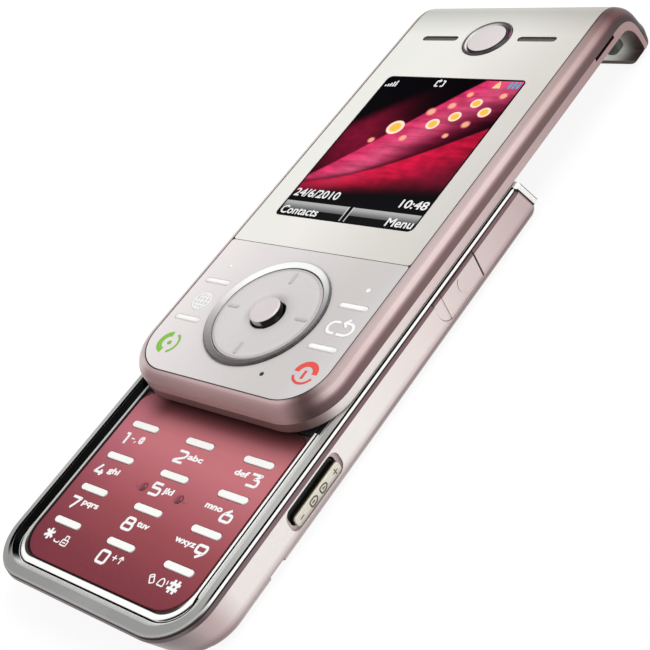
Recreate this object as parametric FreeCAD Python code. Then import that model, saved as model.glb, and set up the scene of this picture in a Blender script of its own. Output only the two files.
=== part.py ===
import FreeCAD, Part
import math
import os

os.makedirs("parts", exist_ok=True)
V = FreeCAD.Vector

# Sizes in mm. The back face lies on z = 0, +Y points to the earpiece, +X to the right.

# Lower half, outside
base_width = 51.0
base_foot_y = -53.3
base_head_y = 50.35
rim_z = 8.1
foot_corner = 9.2
head_corner = 3.0
foot_slant = 3.0
head_slant = 3.2
back_round = 2.2
wall = 1.6
back_wall = 1.25
chamfer_h = 0.62
chamfer_w = 0.35

# Slide
travel = 40.0
running_gap = 0.3
side_step = 1.1
foot_step = 0.6

# Clearances between seated, pressed and swinging pieces
seat = 0.05
key_gap = 0.12
gap = 0.12
cover_gap = 0.15

# Bright frame round the keypad and over the head end
bezel_proud = 0.7
flange_drop = 1.1
flange_t = 0.7
land_w = 1.85
land_foot_w = 2.75
step_w = 1.25
step_foot_w = 0.45
bead_w = 0.75
bead_h = 0.3
cap_t = 1.8
cap_low_z = 2.5
cap_corner = 0.9

# Keypad
sheet_side = 4.6
sheet_foot = 5.0
sheet_corner = 5.7
sheet_tuck = 1.1
sheet_t = 0.35
key_side = 6.36
key_pitch = 7.26
key_first = 7.21
bar_len = 6.8
bar_wid = 1.36
key_proud = 0.26
key_foot_t = 0.25
dot_in = 1.27

# Slide rail in the lower half, carriage on the upper half
rail_side = 3.7
rail_t = 0.3
rail_tuck = 1.5
rail_head = 3.15
lip_w = 3.4
channel_h = 0.6

# Inside the lower half
board_t = 0.8
board_drop = 0.2
battery_side = 8.3
battery_foot = 41.3
battery_head = 2.0
battery_gap = 0.35
battery_top_gap = 0.5
contact_pitch = 3.0
contact_w = 1.0
contact_block = 2.3
can_w = 26.0
can_len = 12.0
can_t = 1.3
small_can = (12.0, 8.0)
chip = (9.0, 7.0)
motor_x = 10.0
motor_foot = 9.8
motor_r = 1.75
motor_len = 8.0
aerial_x = -5.0
aerial_foot = 9.7
aerial_w = 22.0
aerial_len = 5.8
card_w = 17.4
card_len = 11.6
card_foot = 31.8
frame_t = 0.6
frame_head = 13.35
screw_in = 5.3

# Back of the lower half
cover_side = 2.8
cover_head = 12.35
cover_t = 1.1
tongue = 0.45
tongue_foot = 9.3
tongue_head = 8.0
panel_y = 6.4
camera_x = 8.5
camera_r = 3.65
lens_w = 7.4
speaker_x = -10.0
speaker_w = 13.0
speaker_len = 7.4
speaker_slots = 5
speaker_pitch = 1.5
speaker_slot = 8.0
speaker_room = 2.5
speaker_edge = 0.7

# Right side of the lower half
flap_len = 12.6
flap_head = 18.25
flap_z0 = 2.5
flap_t = 1.0
flap_r = 3.0
socket_z = 4.4
socket_w = 7.4
socket_h = 2.4
socket_d = 5.0
rocker_foot = 34.3
rocker_z = 4.9
rocker_len = 12.4
rocker_h = 3.0
rocker_proud = 0.8
pocket_rim = 1.0
pocket_d = 0.6
switch_back = 3.6
switch_half = 7.0
switch_reach = 4.0
notch_past = 12.8
notch_len = 4.0
notch_r = 3.1

# Upper half, outside
slide_t = 5.6
slide_corner = 10.0
front_round = 2.4
seam_h = 1.9
slide_wall = 1.4
face_side = 2.4
face_foot = 2.2
face_corner = 8.0
plate_t = 0.9
window_w = 34.1
window_h = 41.3
window_foot = 7.65
glass_shift = 0.8
glass_w = 3.0
glass_h = 2.6
module_w = 3.9
module_h = 5.7
module_back_w = 4.1
module_back_h = 5.3

# Hooked head. Points are (distance past the bend's start, share of the drop to the tip).
hood_back = 1.35
face_past_bend = 6.6
hood_tip_z = 0.12
tip_r = 1.7
lip_past = 5.1
lip_t = 0.85
hood_outer = [(5.0, 0.065), (7.6, 0.192), (9.3, 0.343), (10.75, 0.576), (11.5, 0.81)]
hood_seam = [(2.1, 0.0), (4.2, 0.03), (6.1, 0.12), (7.2, 0.23), (8.4, 0.495), (9.1, 0.763), (9.2, 0.955)]
inner_past = 2.3
hood_inner = [(5.1, 0.084), (6.5, 0.256), (7.5, 0.546), (8.1, 0.846)]
bumper_x = 17.6
bumper_z = 3.6
bumper_r = 2.4
bumper_t = 1.8
bumper_past = 8.0
slit_len = 7.3
slit_h = 0.75

# Navigation keys
nav_foot = 18.85
ring_side = 9.5
ring_wid = 1.55
disc_gap = 0.15
centre_share = 0.2824
centre_gap = 0.27
centre_proud = 1.05
soft_in = 5.0
soft_up = 4.8
soft_down = 4.7
soft_len = 6.4
soft_wid = 1.1
soft_proud = 0.22
seam_past_ring = 3.05
mic_x = 9.0
mic_down = 12.45
mic_r = 2.0
core_share = 0.6667
core_hole_share = 0.611
core_pin = 2.6
core_pin_in = 0.6
dome_in = 1.8
dome_r = 1.7
key_dome_r = 2.0
key_dome_in = 0.4
dome_sheet_in = 2.2
dome_sheet_foot = 2.4
mic_room = 0.4
slide_board_in = 1.6
slide_board_past = 2.0
connector_w = 12.0
connector_in = 4.0
connector_x = -3.0
connector_up = 1.85

# Earpiece and badge
ear_in = 12.6
badge_r = 5.4
badge_wid = 0.95
slot_len = 9.1
slot_wid = 1.5
slot_gap = 2.0

# Screws of the upper half
screw_past_window = 8.0
screw_in_head = 10.6

# Places and widths that follow from the sizes above
half_b = base_width / 2.0
half_s = half_b - side_step
bezel_top_z = rim_z + bezel_proud
slide_back_z = bezel_top_z + running_gap
face_z = slide_back_z + slide_t
seam_z = slide_back_z + seam_h
plate_low = face_z - plate_t
slide_foot_y = base_foot_y + travel + foot_step
hood_y0 = base_head_y + travel - hood_back
flange_z = rim_z - flange_drop
rim_w = wall - 0.65
sheet_half = half_b - sheet_side
sheet_foot_y = base_foot_y + sheet_foot
sheet_head_y = slide_foot_y + sheet_tuck
key_row_y = sheet_head_y - key_first
key_col = sheet_half - key_side
board_top = flange_z - board_drop
board_low = board_top - board_t
board_half = sheet_half + 0.7
rail_half = sheet_half - rail_side
rail_low = board_top + 0.5
rail_y0 = slide_foot_y + rail_tuck
rail_y1 = base_head_y - rail_head
carriage_len = rail_y1 - rail_y0 - travel - 2.0 * running_gap
battery_z0 = cover_t + battery_gap
battery_z1 = board_low - battery_top_gap
cover_half = half_b - cover_side
cover_head_y = base_head_y - cover_head
battery_half = half_b - battery_side
battery_y0 = base_foot_y + battery_foot
battery_y1 = cover_head_y - battery_head
motor_y = base_foot_y + motor_foot
aerial_y = base_foot_y + aerial_foot
card_y = base_foot_y + card_foot
tongue_y = (base_foot_y + tongue_foot, cover_head_y - tongue_head)
panel_mid_y = base_head_y - panel_y
frame_z = back_wall + 0.1
flap_y1 = base_head_y - flap_head
flap_y0 = flap_y1 - flap_len
flap_z1 = rim_z
knuckle_r = flap_t / 2.0
socket_y = (flap_y0 + flap_y1) / 2.0
rocker_y = base_foot_y + rocker_foot
notch_y = rocker_y - notch_past
face_half = half_s - face_side
face_foot_y = slide_foot_y + face_foot
face_head_y = hood_y0 + face_past_bend
nav_y = slide_foot_y + nav_foot
ring_r = face_half - ring_side
ring_in_r = ring_r - ring_wid
disc_r = ring_in_r - disc_gap
centre_r = disc_r * centre_share
core_r = disc_r * core_share
disc_low = plate_low - seat
disc_top = face_z + 0.14
soft_x = face_half - soft_in
soft_y = (nav_y + soft_up, nav_y - soft_down)
plate_seam_y = nav_y + ring_r + seam_past_ring
window_y = plate_seam_y + window_foot + window_h / 2.0
ear_y = face_head_y - ear_in
badge_in_r = badge_r - badge_wid
slot_x = badge_r + slot_gap + slot_len / 2.0
mic_y = nav_y - mic_down
slide_board_top = plate_low - 1.6
slide_screws_y = (window_y + screw_past_window, face_head_y - screw_in_head)
parts = {}


def box(x0, x1, y0, y1, z0, z1):
    return Part.makeBox(x1 - x0, y1 - y0, z1 - z0, V(x0, y0, z0))


def cyl(x, y, z0, z1, r):
    return Part.makeCylinder(r, z1 - z0, V(x, y, z0))


def rod_x(x0, x1, y, z, r):
    return Part.makeCylinder(r, x1 - x0, V(x0, y, z), V(1, 0, 0))


def outline(half, y0, y1, r0, r1, z):
    """Rounded rectangle wire: r0 at the foot corners, r1 at the head corners."""
    seg = []

    def arc(cx, cy, r, a, b):
        p = []
        for t in (a, (a + b) / 2.0, b):
            t = math.radians(t)
            p.append(V(cx + r * math.cos(t), cy + r * math.sin(t), z))
        seg.append(Part.Arc(p[0], p[1], p[2]).toShape())

    def line(ax, ay, bx, by):
        seg.append(Part.makeLine(V(ax, ay, z), V(bx, by, z)))

    line(-half + r0, y0, half - r0, y0)
    arc(half - r0, y0 + r0, r0, 270, 360)
    line(half, y0 + r0, half, y1 - r1)
    arc(half - r1, y1 - r1, r1, 0, 90)
    line(half - r1, y1, -half + r1, y1)
    arc(-half + r1, y1 - r1, r1, 90, 180)
    line(-half, y1 - r1, -half, y0 + r0)
    arc(-half + r0, y0 + r0, r0, 180, 270)
    return Part.Wire(seg)


def slab(half, y0, y1, r0, r1, z0, z1):
    return Part.Face(outline(half, y0, y1, r0, r1, z0)).extrude(V(0, 0, z1 - z0))


def plate(cx, cy, w, h, r, z0, z1):
    s = slab(w / 2.0, -h / 2.0, h / 2.0, r, r, z0, z1)
    s.translate(V(cx, cy, 0))
    return s


def stadium(cx, cy, length, width, z0, z1):
    return plate(cx, cy, length, width, width / 2.0 - 0.01, z0, z1)


def plate_x(y, z, length, height, r, x0, x1):
    """A rounded plate in the YZ plane, pulled along X."""
    s = plate(0, 0, length, height, r, 0.0, x1 - x0)
    return s.transformed(FreeCAD.Matrix(0, 0, 1, x0, 1, 0, 0, y, 0, 1, 0, z, 0, 0, 0, 1))


def side_profile(points, x0, x1):
    """Closed polygon in the YZ plane pulled along X."""
    p = [V(x0, y, z) for y, z in points]
    return Part.Face(Part.makePolygon(p + [p[0]])).extrude(V(x1 - x0, 0, 0))


def turned(points, cy):
    """Closed (radius, height) outline turned about the upright line at x = 0, y = cy."""
    p = [V(r, cy, z) for r, z in points]
    return Part.Face(Part.makePolygon(p + [p[0]])).revolve(V(0, cy, 0), V(0, 0, 1), 360)


def taper(w0, w1):
    return Part.makeLoft([w0, w1], True, True)


def fuse(shapes):
    s = shapes[0]
    for t in shapes[1:]:
        s = s.fuse(t)
    return s.removeSplitter()


def cut(s, tools):
    for t in tools:
        s = s.cut(t)
    return s


def flat_at(e, z, tol=0.02):
    b = e.BoundBox
    return abs(b.ZMin - z) < tol and abs(b.ZMax - z) < tol


def edges_at_z(shape, z):
    return [e for e in shape.Edges if flat_at(e, z)]


def edges_at_x(shape, x):
    return [e for e in shape.Edges if abs(e.BoundBox.XMin - x) < 0.02 and abs(e.BoundBox.XMax - x) < 0.02]


def edges_at_y(shape, y):
    return [e for e in shape.Edges if abs(e.BoundBox.YMin - y) < 0.02 and abs(e.BoundBox.YMax - y) < 0.02]


def head_line(z):
    """Y of the lower half's head end at height z."""
    return base_head_y + head_slant * (rim_z - z) / rim_z


def foot_line(z):
    return base_foot_y + foot_slant * (rim_z - z) / rim_z


rim_foot = foot_line(rim_z) + rim_w


def base_outline(z, inset):
    return outline(half_b - inset, foot_line(z) + inset, head_line(z) - inset,
                   foot_corner - inset, head_corner - inset, z)


def base_envelope():
    z = rim_z - chamfer_h
    low = taper(base_outline(0.0, 0.0), base_outline(z, 0.0))
    low = low.makeFillet(back_round, edges_at_z(low, 0.0))
    high = taper(base_outline(z, 0.0), base_outline(rim_z, chamfer_w))
    return low.fuse(high).removeSplitter()


def cap_zone(t, z_low, z_high, pad):
    """The slanted strip at the head end that the bright band covers."""
    pts = [(head_line(z_low) - t, z_low), (head_line(z_low) + pad, z_low),
           (head_line(z_high) + pad, z_high), (head_line(z_high) - t, z_high)]
    return side_profile(pts, -half_b - 1, half_b + 1)


envelope = base_envelope()


# Lower half

def flap_plate(grow, x0, x1):
    """The flap's face outline: square at the hinge, a big curve at the free low corner."""
    y0 = flap_y0 - grow
    z0 = flap_z0 - grow
    z1 = flap_z1 + (2.0 if grow else 0.0)
    r = flap_r + grow
    k = r * (1 - math.sqrt(0.5))
    line = Part.makeLine
    seg = [line(V(x0, flap_y1, z1), V(x0, y0, z1)),
           line(V(x0, y0, z1), V(x0, y0, z0 + r)),
           Part.Arc(V(x0, y0, z0 + r), V(x0, y0 + k, z0 + k), V(x0, y0 + r, z0)).toShape(),
           line(V(x0, y0 + r, z0), V(x0, flap_y1, z0)),
           line(V(x0, flap_y1, z0), V(x0, flap_y1, z1))]
    return Part.Face(Part.Wire(seg)).extrude(V(x1 - x0, 0, 0))


def flap_seat():
    return flap_plate(gap, half_b - flap_t - gap, half_b + 1)


def cover_rails(grow, y0, y1):
    """Tongues along both long sides of the back cover."""
    z0 = cover_t - tongue - grow
    z1 = cover_t + grow
    reach = tongue + grow
    return [box(-cover_half - reach, -cover_half, y0, y1, z0, z1),
            box(cover_half, cover_half + reach, y0, y1, z0, z1)]


def speaker_slot_places():
    first = panel_mid_y - speaker_pitch * (speaker_slots - 1) / 2.0
    return [first + speaker_pitch * i for i in range(speaker_slots)]


def housing_screw_places():
    return [(x, panel_mid_y - 2.2) for x in (-half_b + 5.5, half_b - 5.5)]


def frame_screw_places():
    x = half_b - screw_in
    return [(sx * x, y) for sx in (-1, 1) for y in (tongue_y[0] + 4.0, tongue_y[1] + 3.0)]


def build_housing():
    s = envelope
    s = s.cut(slab(half_b - wall, foot_line(0.0) + wall, head_line(rim_z) - cap_t - 0.7,
                   foot_corner - wall, head_corner, back_wall, flange_z))
    # openings in the flange for the keypad and the deck, and the step the bright frame sits on
    top = rim_z + 1.4
    s = s.cut(slab(sheet_half - 2.0, sheet_foot_y + 2.2, sheet_head_y - 1.6, 3.5, 2.0, flange_z - 0.1, top))
    deck_end = head_line(flange_z) - cap_t - 0.9
    s = s.cut(box(-sheet_half - 0.2, sheet_half + 0.2, sheet_head_y + 0.2, deck_end, flange_z - 0.1, top))
    s = s.cut(slab(half_b - rim_w, rim_foot, base_head_y + 10, foot_corner - rim_w, 1, flange_z + flange_t, top))
    s = s.cut(cap_zone(cap_t, cap_low_z, top, 3.0))
    # back cover and its grooves
    s = s.cut(box(-cover_half - cover_gap, cover_half + cover_gap, base_foot_y - 7, cover_head_y + cover_gap,
                  -1, back_wall))
    s = cut(s, cover_rails(cover_gap, base_foot_y - 7, tongue_y[1] + 1.0))
    # side key, flap and socket
    s = s.cut(plate_x(rocker_y, rocker_z, rocker_len + 2 * pocket_rim, rocker_h + 1.6 * pocket_rim, 1.7,
                      half_b - pocket_d, half_b + 1))
    s = s.cut(plate_x(rocker_y, rocker_z, rocker_len + 0.5, rocker_h + 0.4, 1.2, half_b - 3, half_b + 1))
    s = s.cut(flap_seat())
    s = s.cut(cyl(half_b - knuckle_r, flap_y1, flap_z0 - gap, top, knuckle_r + gap))
    s = s.cut(box(half_b - knuckle_r, half_b + 1, flap_y1 - 0.1, flap_y1 + knuckle_r + gap, flap_z0 - gap, top))
    s = s.cut(plate_x(socket_y, socket_z, socket_w + 0.9, socket_h + 0.9, 1.0, half_b - 4, half_b + 1))
    # finger notch in the low right edge
    notch = V(half_b + 0.6, notch_y - notch_len / 2.0, -1.35)
    s = s.cut(Part.makeCylinder(notch_r, notch_len, notch, V(0, 1, 0)))
    # loudspeaker slots, camera hole and two screw holes in the fixed back panel
    for y in speaker_slot_places():
        s = s.cut(stadium(speaker_x, y, speaker_slot, speaker_pitch - 0.8, -1, back_wall + 1))
    s = s.cut(cyl(camera_x, panel_mid_y, -1, back_wall + 1, camera_r + 0.1))
    for x, y in housing_screw_places():
        s = s.cut(cyl(x, y, -1, 0.95, 1.35))
    return s


def build_bezel():
    z_low = flange_z + flange_t + seat
    z_base = rim_z - 0.1
    y_end = head_line(bezel_top_z) - 0.2
    y_in = y_end - cap_t
    half = half_b - chamfer_w
    top = slab(half, foot_line(rim_z) + chamfer_w, y_end, foot_corner - chamfer_w, 2.6, rim_z + 0.03, bezel_top_z)
    rim = [e for e in edges_at_z(top, bezel_top_z) if e.BoundBox.YMax < y_end - 0.5 or e in edges_at_x(top, half)
           or e in edges_at_x(top, -half)]
    top = top.makeFillet(0.5, rim)
    low = slab(half_b - rim_w - 0.1, rim_foot + 0.1, y_end, foot_corner - rim_w - 0.1, 1.2, z_low, rim_z + 0.1)
    s = top.fuse(low)
    # flat land, sloping step, then the bead round the keypad
    land_half = half - land_w
    land_foot = base_foot_y + land_foot_w
    s = s.cut(taper(outline(land_half, land_foot, y_in, foot_corner - land_foot_w, 1.2, bezel_top_z + 0.01),
                    outline(land_half - step_w, land_foot + step_foot_w, y_in,
                            foot_corner - land_foot_w - 0.55, 1.2, z_base)))
    hole_half = sheet_half + 2 * gap
    hole_foot = sheet_foot_y - 2 * gap
    hole = slab(hole_half, hole_foot, y_in - 0.3, sheet_corner + 0.2, 1.0, z_low - 1, bezel_top_z + 1)
    s = s.cut(hole)
    bead_top = rim_z + bead_h
    bead = slab(hole_half + bead_w, hole_foot - bead_w - 0.55, y_in, sheet_corner + 0.6, 1.0, z_base, bead_top)
    bead = bead.makeFillet(0.28, edges_at_z(bead, bead_top)).cut(hole)
    bead = bead.cut(box(-half_b, half_b, sheet_head_y + 0.8, base_head_y + 10, 0, bezel_top_z + 1))
    s = s.fuse(bead)
    # band over the slanted head end
    ends = [outline(half_b, foot_line(z), head_line(z), foot_corner, cap_corner, z) for z in (0.0, bezel_top_z)]
    full = taper(ends[0], ends[1])
    band = full.common(cap_zone(cap_t, cap_low_z + 0.02, bezel_top_z, 3.0))
    ridge = [e for e in edges_at_z(band, bezel_top_z) if e.BoundBox.YMax > head_line(bezel_top_z) - 0.05
             and e.BoundBox.XLength > 20]
    s = s.fuse(band.makeFillet(0.55, ridge))
    low_side = box(half_b - 5, half_b + 5, flap_y0 - 9, flap_y1 + 9, 0, rim_z + 0.02)
    return s.cut(flap_seat().common(low_side)).removeSplitter()


def key_centres():
    out = []
    for r in range(4):
        for c in (-1, 0, 1):
            out.append((c * key_col, key_row_y - r * key_pitch))
    return out


key_names = ["key_1", "key_2", "key_3", "key_4", "key_5", "key_6",
             "key_7", "key_8", "key_9", "key_star", "key_0", "key_hash"]


def build_key(cx, cy, z_top, z_foot_top, length, width):
    """A bar that stands through its plate, on a wider foot below it."""
    bar = stadium(cx, cy, length, width, z_foot_top - 0.02, z_top)
    bar = bar.makeFillet(0.2, edges_at_z(bar, z_top))
    foot = stadium(cx, cy, length + 0.9, width + 0.8, z_foot_top - key_foot_t, z_foot_top)
    return bar.fuse(foot).removeSplitter()


def build_sheet():
    s = slab(sheet_half, sheet_foot_y, sheet_head_y, sheet_corner, 3.0, rim_z - sheet_t, rim_z)
    s = s.makeFillet(0.12, edges_at_z(s, rim_z))
    for x, y in key_centres():
        s = s.cut(stadium(x, y, bar_len + 2 * key_gap, bar_wid + 2 * key_gap, rim_z - 3, rim_z + 2))
    # two touch dots beside the middle key
    y = key_row_y - 1.5 * key_pitch + 0.1
    dot_x = key_col / 2.0 - dot_in
    for x in (-dot_x, dot_x):
        ball = Part.makeSphere(0.7, V(x, y, rim_z - 0.42))
        s = s.fuse(ball.common(box(x - 1, x + 1, y - 1, y + 1, rim_z - 0.1, rim_z + 0.9)))
    return s


def build_domes():
    s = slab(sheet_half - 2.7, sheet_foot_y + 3.0, sheet_head_y - 3.6, 2.0, 2.0, board_top, board_top + 0.1)
    for x, y in key_centres():
        s = s.fuse(cyl(x, y, board_top, board_top + 0.3, 2.2))
    return s


def build_board():
    s = slab(board_half, sheet_foot_y + 1.5, base_head_y - 4.35, 6.0, 1.0, board_low, board_top)
    # room for the side key's switches, and two post holes
    s = s.cut(box(board_half - 2.6, half_b, rocker_y - 9.0, rocker_y + 9.0, board_low - 1, board_top + 1))
    for y in (sheet_foot_y + 8.3, base_head_y - 10.35):
        s = s.cut(cyl(-board_half + 2.6, y, board_low - 1, board_top + 1, 1.0))
    y = card_y - card_len / 2.0 - can_len / 2.0 - 0.9
    big = plate(-2.0, y, can_w, can_len, 1.0, board_low - can_t, board_low)
    x = board_half - small_can[0] / 2.0 - 5.1
    small = plate(x, card_y + 1.5, small_can[0], small_can[1], 0.8, board_low - 1.1, board_low)
    x = -board_half + chip[0] / 2.0 + 2.6
    return fuse([s, big, small, plate(x, card_y + 1.5, chip[0], chip[1], 0.2, board_low - 0.9, board_low)])


def build_rail():
    """Channel with inturned lips that the carriage runs in."""
    a = rail_half
    z0 = rail_low
    z1 = z0 + rail_t
    z2 = z1 + channel_h
    z3 = z2 + rail_t
    side = 2 * rail_t
    pts = [(-a, z0), (a, z0), (a, z3), (a - lip_w, z3), (a - lip_w, z2), (a - side, z2), (a - side, z1),
           (-a + side, z1), (-a + side, z2), (-a + lip_w, z2), (-a + lip_w, z3), (-a, z3)]
    p = [V(x, rail_y0, z) for x, z in pts]
    s = Part.Face(Part.makePolygon(p + [p[0]])).extrude(V(0, rail_y1 - rail_y0, 0))
    step = (rail_y1 - rail_y0) / 3.25
    for i in (-1, 0, 1):
        y = (rail_y0 + rail_y1) / 2.0 + i * step
        s = s.cut(plate(0, y, 2 * (rail_half - lip_w - 6.8), 5.0, 1.5, z0 - 1, z1 + 0.05))
    return s


def build_carriage():
    """Runner in the channel, with the pad that carries the upper half."""
    z1 = rail_low + rail_t + 0.1
    z2 = z1 + channel_h - 0.2
    y1 = rail_y1 - running_gap
    y0 = y1 - carriage_len
    half = rail_half - 2 * rail_t - 0.2
    s = box(-half, half, y0, y1, z1, z2)
    pad_half = rail_half - lip_w - 1.3
    s = s.fuse(box(-pad_half, pad_half, y0 + 0.6, y1 - 0.6, z2 - 0.01, slide_back_z))
    s = s.cut(plate(0, (y0 + y1) / 2.0, pad_half - 0.5, 7.0, 1.5, z1 - 1, slide_back_z + 1))
    for x in (-pad_half + 3.0, pad_half - 3.0):
        for y in (y0 + 3.0, y1 - 3.0):
            s = s.cut(cyl(x, y, z1 - 1, slide_back_z + 1, 0.8))
    return s.removeSplitter()


def build_deck():
    """Flat cover plate under the upper half, round the rail."""
    s = box(-sheet_half, sheet_half, sheet_head_y + running_gap, head_line(bezel_top_z) - cap_t - 0.95,
            flange_z, slide_back_z - 0.7)
    return s.cut(box(-rail_half - 0.1, rail_half + 0.1, rail_y0 - 0.1, rail_y1 + 0.2,
                     rail_low - 0.02, slide_back_z + 1))


def build_frame():
    """Inner frame round the battery, seen when the back cover is off."""
    s = slab(half_b - wall - 0.2, foot_line(0) + wall + 0.3, base_head_y - frame_head, foot_corner - wall, 1.0,
             frame_z, frame_z + frame_t)
    s = s.cut(box(-battery_half - 0.3, battery_half + 0.3, battery_y0 - 0.3, battery_y1 + 0.3,
                  frame_z - 1, frame_z + 2))
    s = s.cut(plate(0, card_y, card_w + 0.6, card_len + 1.0, 1.0, frame_z - 1, frame_z + 2))
    for x, y in frame_screw_places():
        s = s.cut(cyl(x, y, frame_z - 1, frame_z + 2, 1.3))
    return s


def contact_places():
    return [contact_pitch * i for i in (-1.5, -0.5, 0.5, 1.5)]


def build_battery():
    s = slab(battery_half, battery_y0, battery_y1, 2.0, 2.0, battery_z0, battery_z1)
    half = 0.9 * contact_w
    for x in contact_places():
        s = s.cut(box(x - half, x + half, battery_y0 - 1, battery_y0 + 0.4, battery_z1 - 2.0, battery_z1 - 0.6))
    return s


def build_contacts():
    half = 1.5 * contact_pitch + 2.5 * contact_w
    y1 = battery_y0 - 0.7
    s = box(-half, half, y1 - contact_block, y1, battery_z1 - 2.4, board_low - seat)
    half = contact_w / 2.0
    for x in contact_places():
        s = s.fuse(box(x - half, x + half, y1 - 0.05, battery_y0 - 0.15, battery_z1 - 1.7, battery_z1 - 0.9))
    return s.removeSplitter()


def build_cover():
    s = envelope.common(box(-cover_half, cover_half, base_foot_y - 7, cover_head_y, -1, cover_t))
    s = fuse([s] + cover_rails(0.0, tongue_y[0], tongue_y[1]))
    return s.cut(slab(battery_half - 2.0, battery_y0 + 4.0, battery_y1 - 4.0, 2.0, 2.0,
                      cover_t - 0.35, cover_t + 1))


def on_side_arc(y, z, r, w, a0, a1):
    """Raised arc on the right side wall."""
    s = Part.makeCylinder(r + w, 0.2, V(half_b - 0.1, y, z), V(1, 0, 0), a1 - a0)
    s = s.cut(rod_x(half_b - 0.5, half_b + 0.5, y, z, r - w))
    s.rotate(V(half_b, y, z), V(1, 0, 0), a0)
    return s


def build_flap():
    x0 = half_b - flap_t
    s = flap_plate(0.0, x0, half_b)
    s = s.fuse(cyl(x0 + knuckle_r, flap_y1, flap_z0, flap_z1, knuckle_r))
    s = s.fuse(plate_x(socket_y, socket_z, socket_w - 0.8, socket_h - 0.6, 0.7, x0 - 0.8, x0 + 0.1))
    # grip step near the free end and a small raised arc
    s = s.cut(box(half_b - 0.12, half_b + 1, flap_y0 - 1, flap_y0 + 2.3, 0, rim_z + 4))
    s = s.fuse(on_side_arc(socket_y + 2.2, (flap_z0 + flap_z1) / 2.0 + 0.3, 1.75, 0.22, 40, 180))
    return s.removeSplitter()


def build_rocker():
    x1 = half_b + rocker_proud
    x0 = half_b - 2.2
    s = plate_x(rocker_y, rocker_z, rocker_len, rocker_h, 1.0, x0, x1)
    s = s.makeFillet(0.3, edges_at_x(s, x1))
    return s.fuse(plate_x(rocker_y, rocker_z, rocker_len + 1.4, rocker_h, 1.0, x0 - 0.5, x0)).removeSplitter()


def build_switches():
    x1 = half_b - switch_back
    s = box(x1 - 0.5, x1, rocker_y - switch_half, rocker_y + switch_half, rocker_z - 1.5, rocker_z + 1.3)
    for d in (-switch_reach, switch_reach):
        s = s.fuse(rod_x(x1 - 0.3, x1 + 0.4, rocker_y + d, rocker_z, 1.1))
    return s


def build_socket():
    x1 = half_b - wall - 0.15
    x0 = x1 - socket_d
    y0 = socket_y - socket_w / 2.0
    y1 = socket_y + socket_w / 2.0
    s = box(x0, x1, y0 - 0.5, y1 + 0.5, socket_z - socket_h / 2.0 - 0.35, board_low - seat)
    s = s.cut(plate_x(socket_y, socket_z, socket_w, socket_h, 0.6, x0 + 0.6, x1 + 1))
    return s.fuse(box(x0 + 0.5, x1 - 1.3, y0 + 1.1, y1 - 1.1, socket_z - 0.1, socket_z + 0.3))


def build_loudspeaker():
    z0 = back_wall + seat
    s = plate(speaker_x, panel_mid_y, speaker_w, speaker_len, 1.0, z0, board_low - 1.6)
    room = plate(speaker_x, panel_mid_y, speaker_slot + speaker_room, speaker_len - speaker_edge, 0.8,
                 z0 - 1, z0 + 0.5)
    return s.cut(room)


def build_camera_ring():
    z0 = 0.12
    s = cyl(camera_x, panel_mid_y, z0, back_wall + 0.45, camera_r)
    s = s.makeFillet(0.3, edges_at_z(s, z0))
    return s.cut(cyl(camera_x, panel_mid_y, -1, back_wall + 1, camera_r - 1.35))


def build_camera_lens():
    z = back_wall + 0.5
    body = plate(camera_x, panel_mid_y, lens_w, lens_w, 0.6, z, board_low - 0.8)
    barrel = cyl(camera_x, panel_mid_y, z - 1.05, z + 0.05, camera_r - 1.45)
    return body.fuse(barrel).cut(Part.makeSphere(2.4, V(camera_x, panel_mid_y, z - 2.75)))


def build_motor():
    z = board_low - motor_r - seat
    s = rod_x(motor_x, motor_x + motor_len, motor_y, z, motor_r)
    weight = rod_x(motor_x - 2.2, motor_x, motor_y, z, motor_r - 0.25)
    return s.fuse(weight.cut(box(motor_x - 3, motor_x + 0.1, motor_y - 3, motor_y + 3, z, z + 4)))


def build_antenna():
    z0 = frame_z + frame_t + seat
    s = plate(aerial_x, aerial_y, aerial_w, aerial_len, 1.0, z0, board_low - 0.6)
    return s.cut(plate(aerial_x, aerial_y, aerial_w - 3.0, aerial_len - 1.8, 0.8, z0 + 0.8, board_low))


def build_card_holder():
    z1 = board_low - 1.15
    s = plate(0, card_y, card_w, card_len, 0.5, z1 - 0.85, z1)
    return s.cut(plate(0, card_y - 0.5, card_w - 2.6, card_len - 2.6, 0.4, z1 - 2, z1 - 0.3))


def screw(x, y, z0, z1, r_head, r_shank, z_end):
    """Cross-slot screw with its head down."""
    s = cyl(x, y, z0, z1, r_head).fuse(cyl(x, y, z0, z_end, r_shank))
    for lx, ly in ((1.4, 0.28), (0.28, 1.4)):
        s = s.cut(Part.makeBox(lx, ly, 0.3, V(x - lx / 2.0, y - ly / 2.0, z0 - 0.02)))
    return s


def build_base_screws():
    out = []
    for x, y in housing_screw_places():
        out.append(screw(x, y, 0.3, 0.9, 1.2, 0.7, 0.94))
    for x, y in frame_screw_places():
        out.append(screw(x, y, frame_z + seat, frame_z + 0.85, 1.15, 0.6, board_low - 0.1))
    return Part.Compound(out)


# Upper half

def bend(points, past, z_top):
    """Side-view points of the hook, measured from the bend's start and from z_top down to the tip."""
    out = [(hood_y0 + past, z_top)]
    for dy, share in points:
        out.append((hood_y0 + dy, z_top - share * (z_top - hood_tip_z)))
    return out


def curve(points, x, t0, t1):
    c = Part.BSplineCurve()
    c.interpolate(Points=[V(x, y, z) for y, z in points],
                  InitialTangent=V(0, t0[0], t0[1]), FinalTangent=V(0, t1[0], t1[1]))
    return c.toShape()


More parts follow.
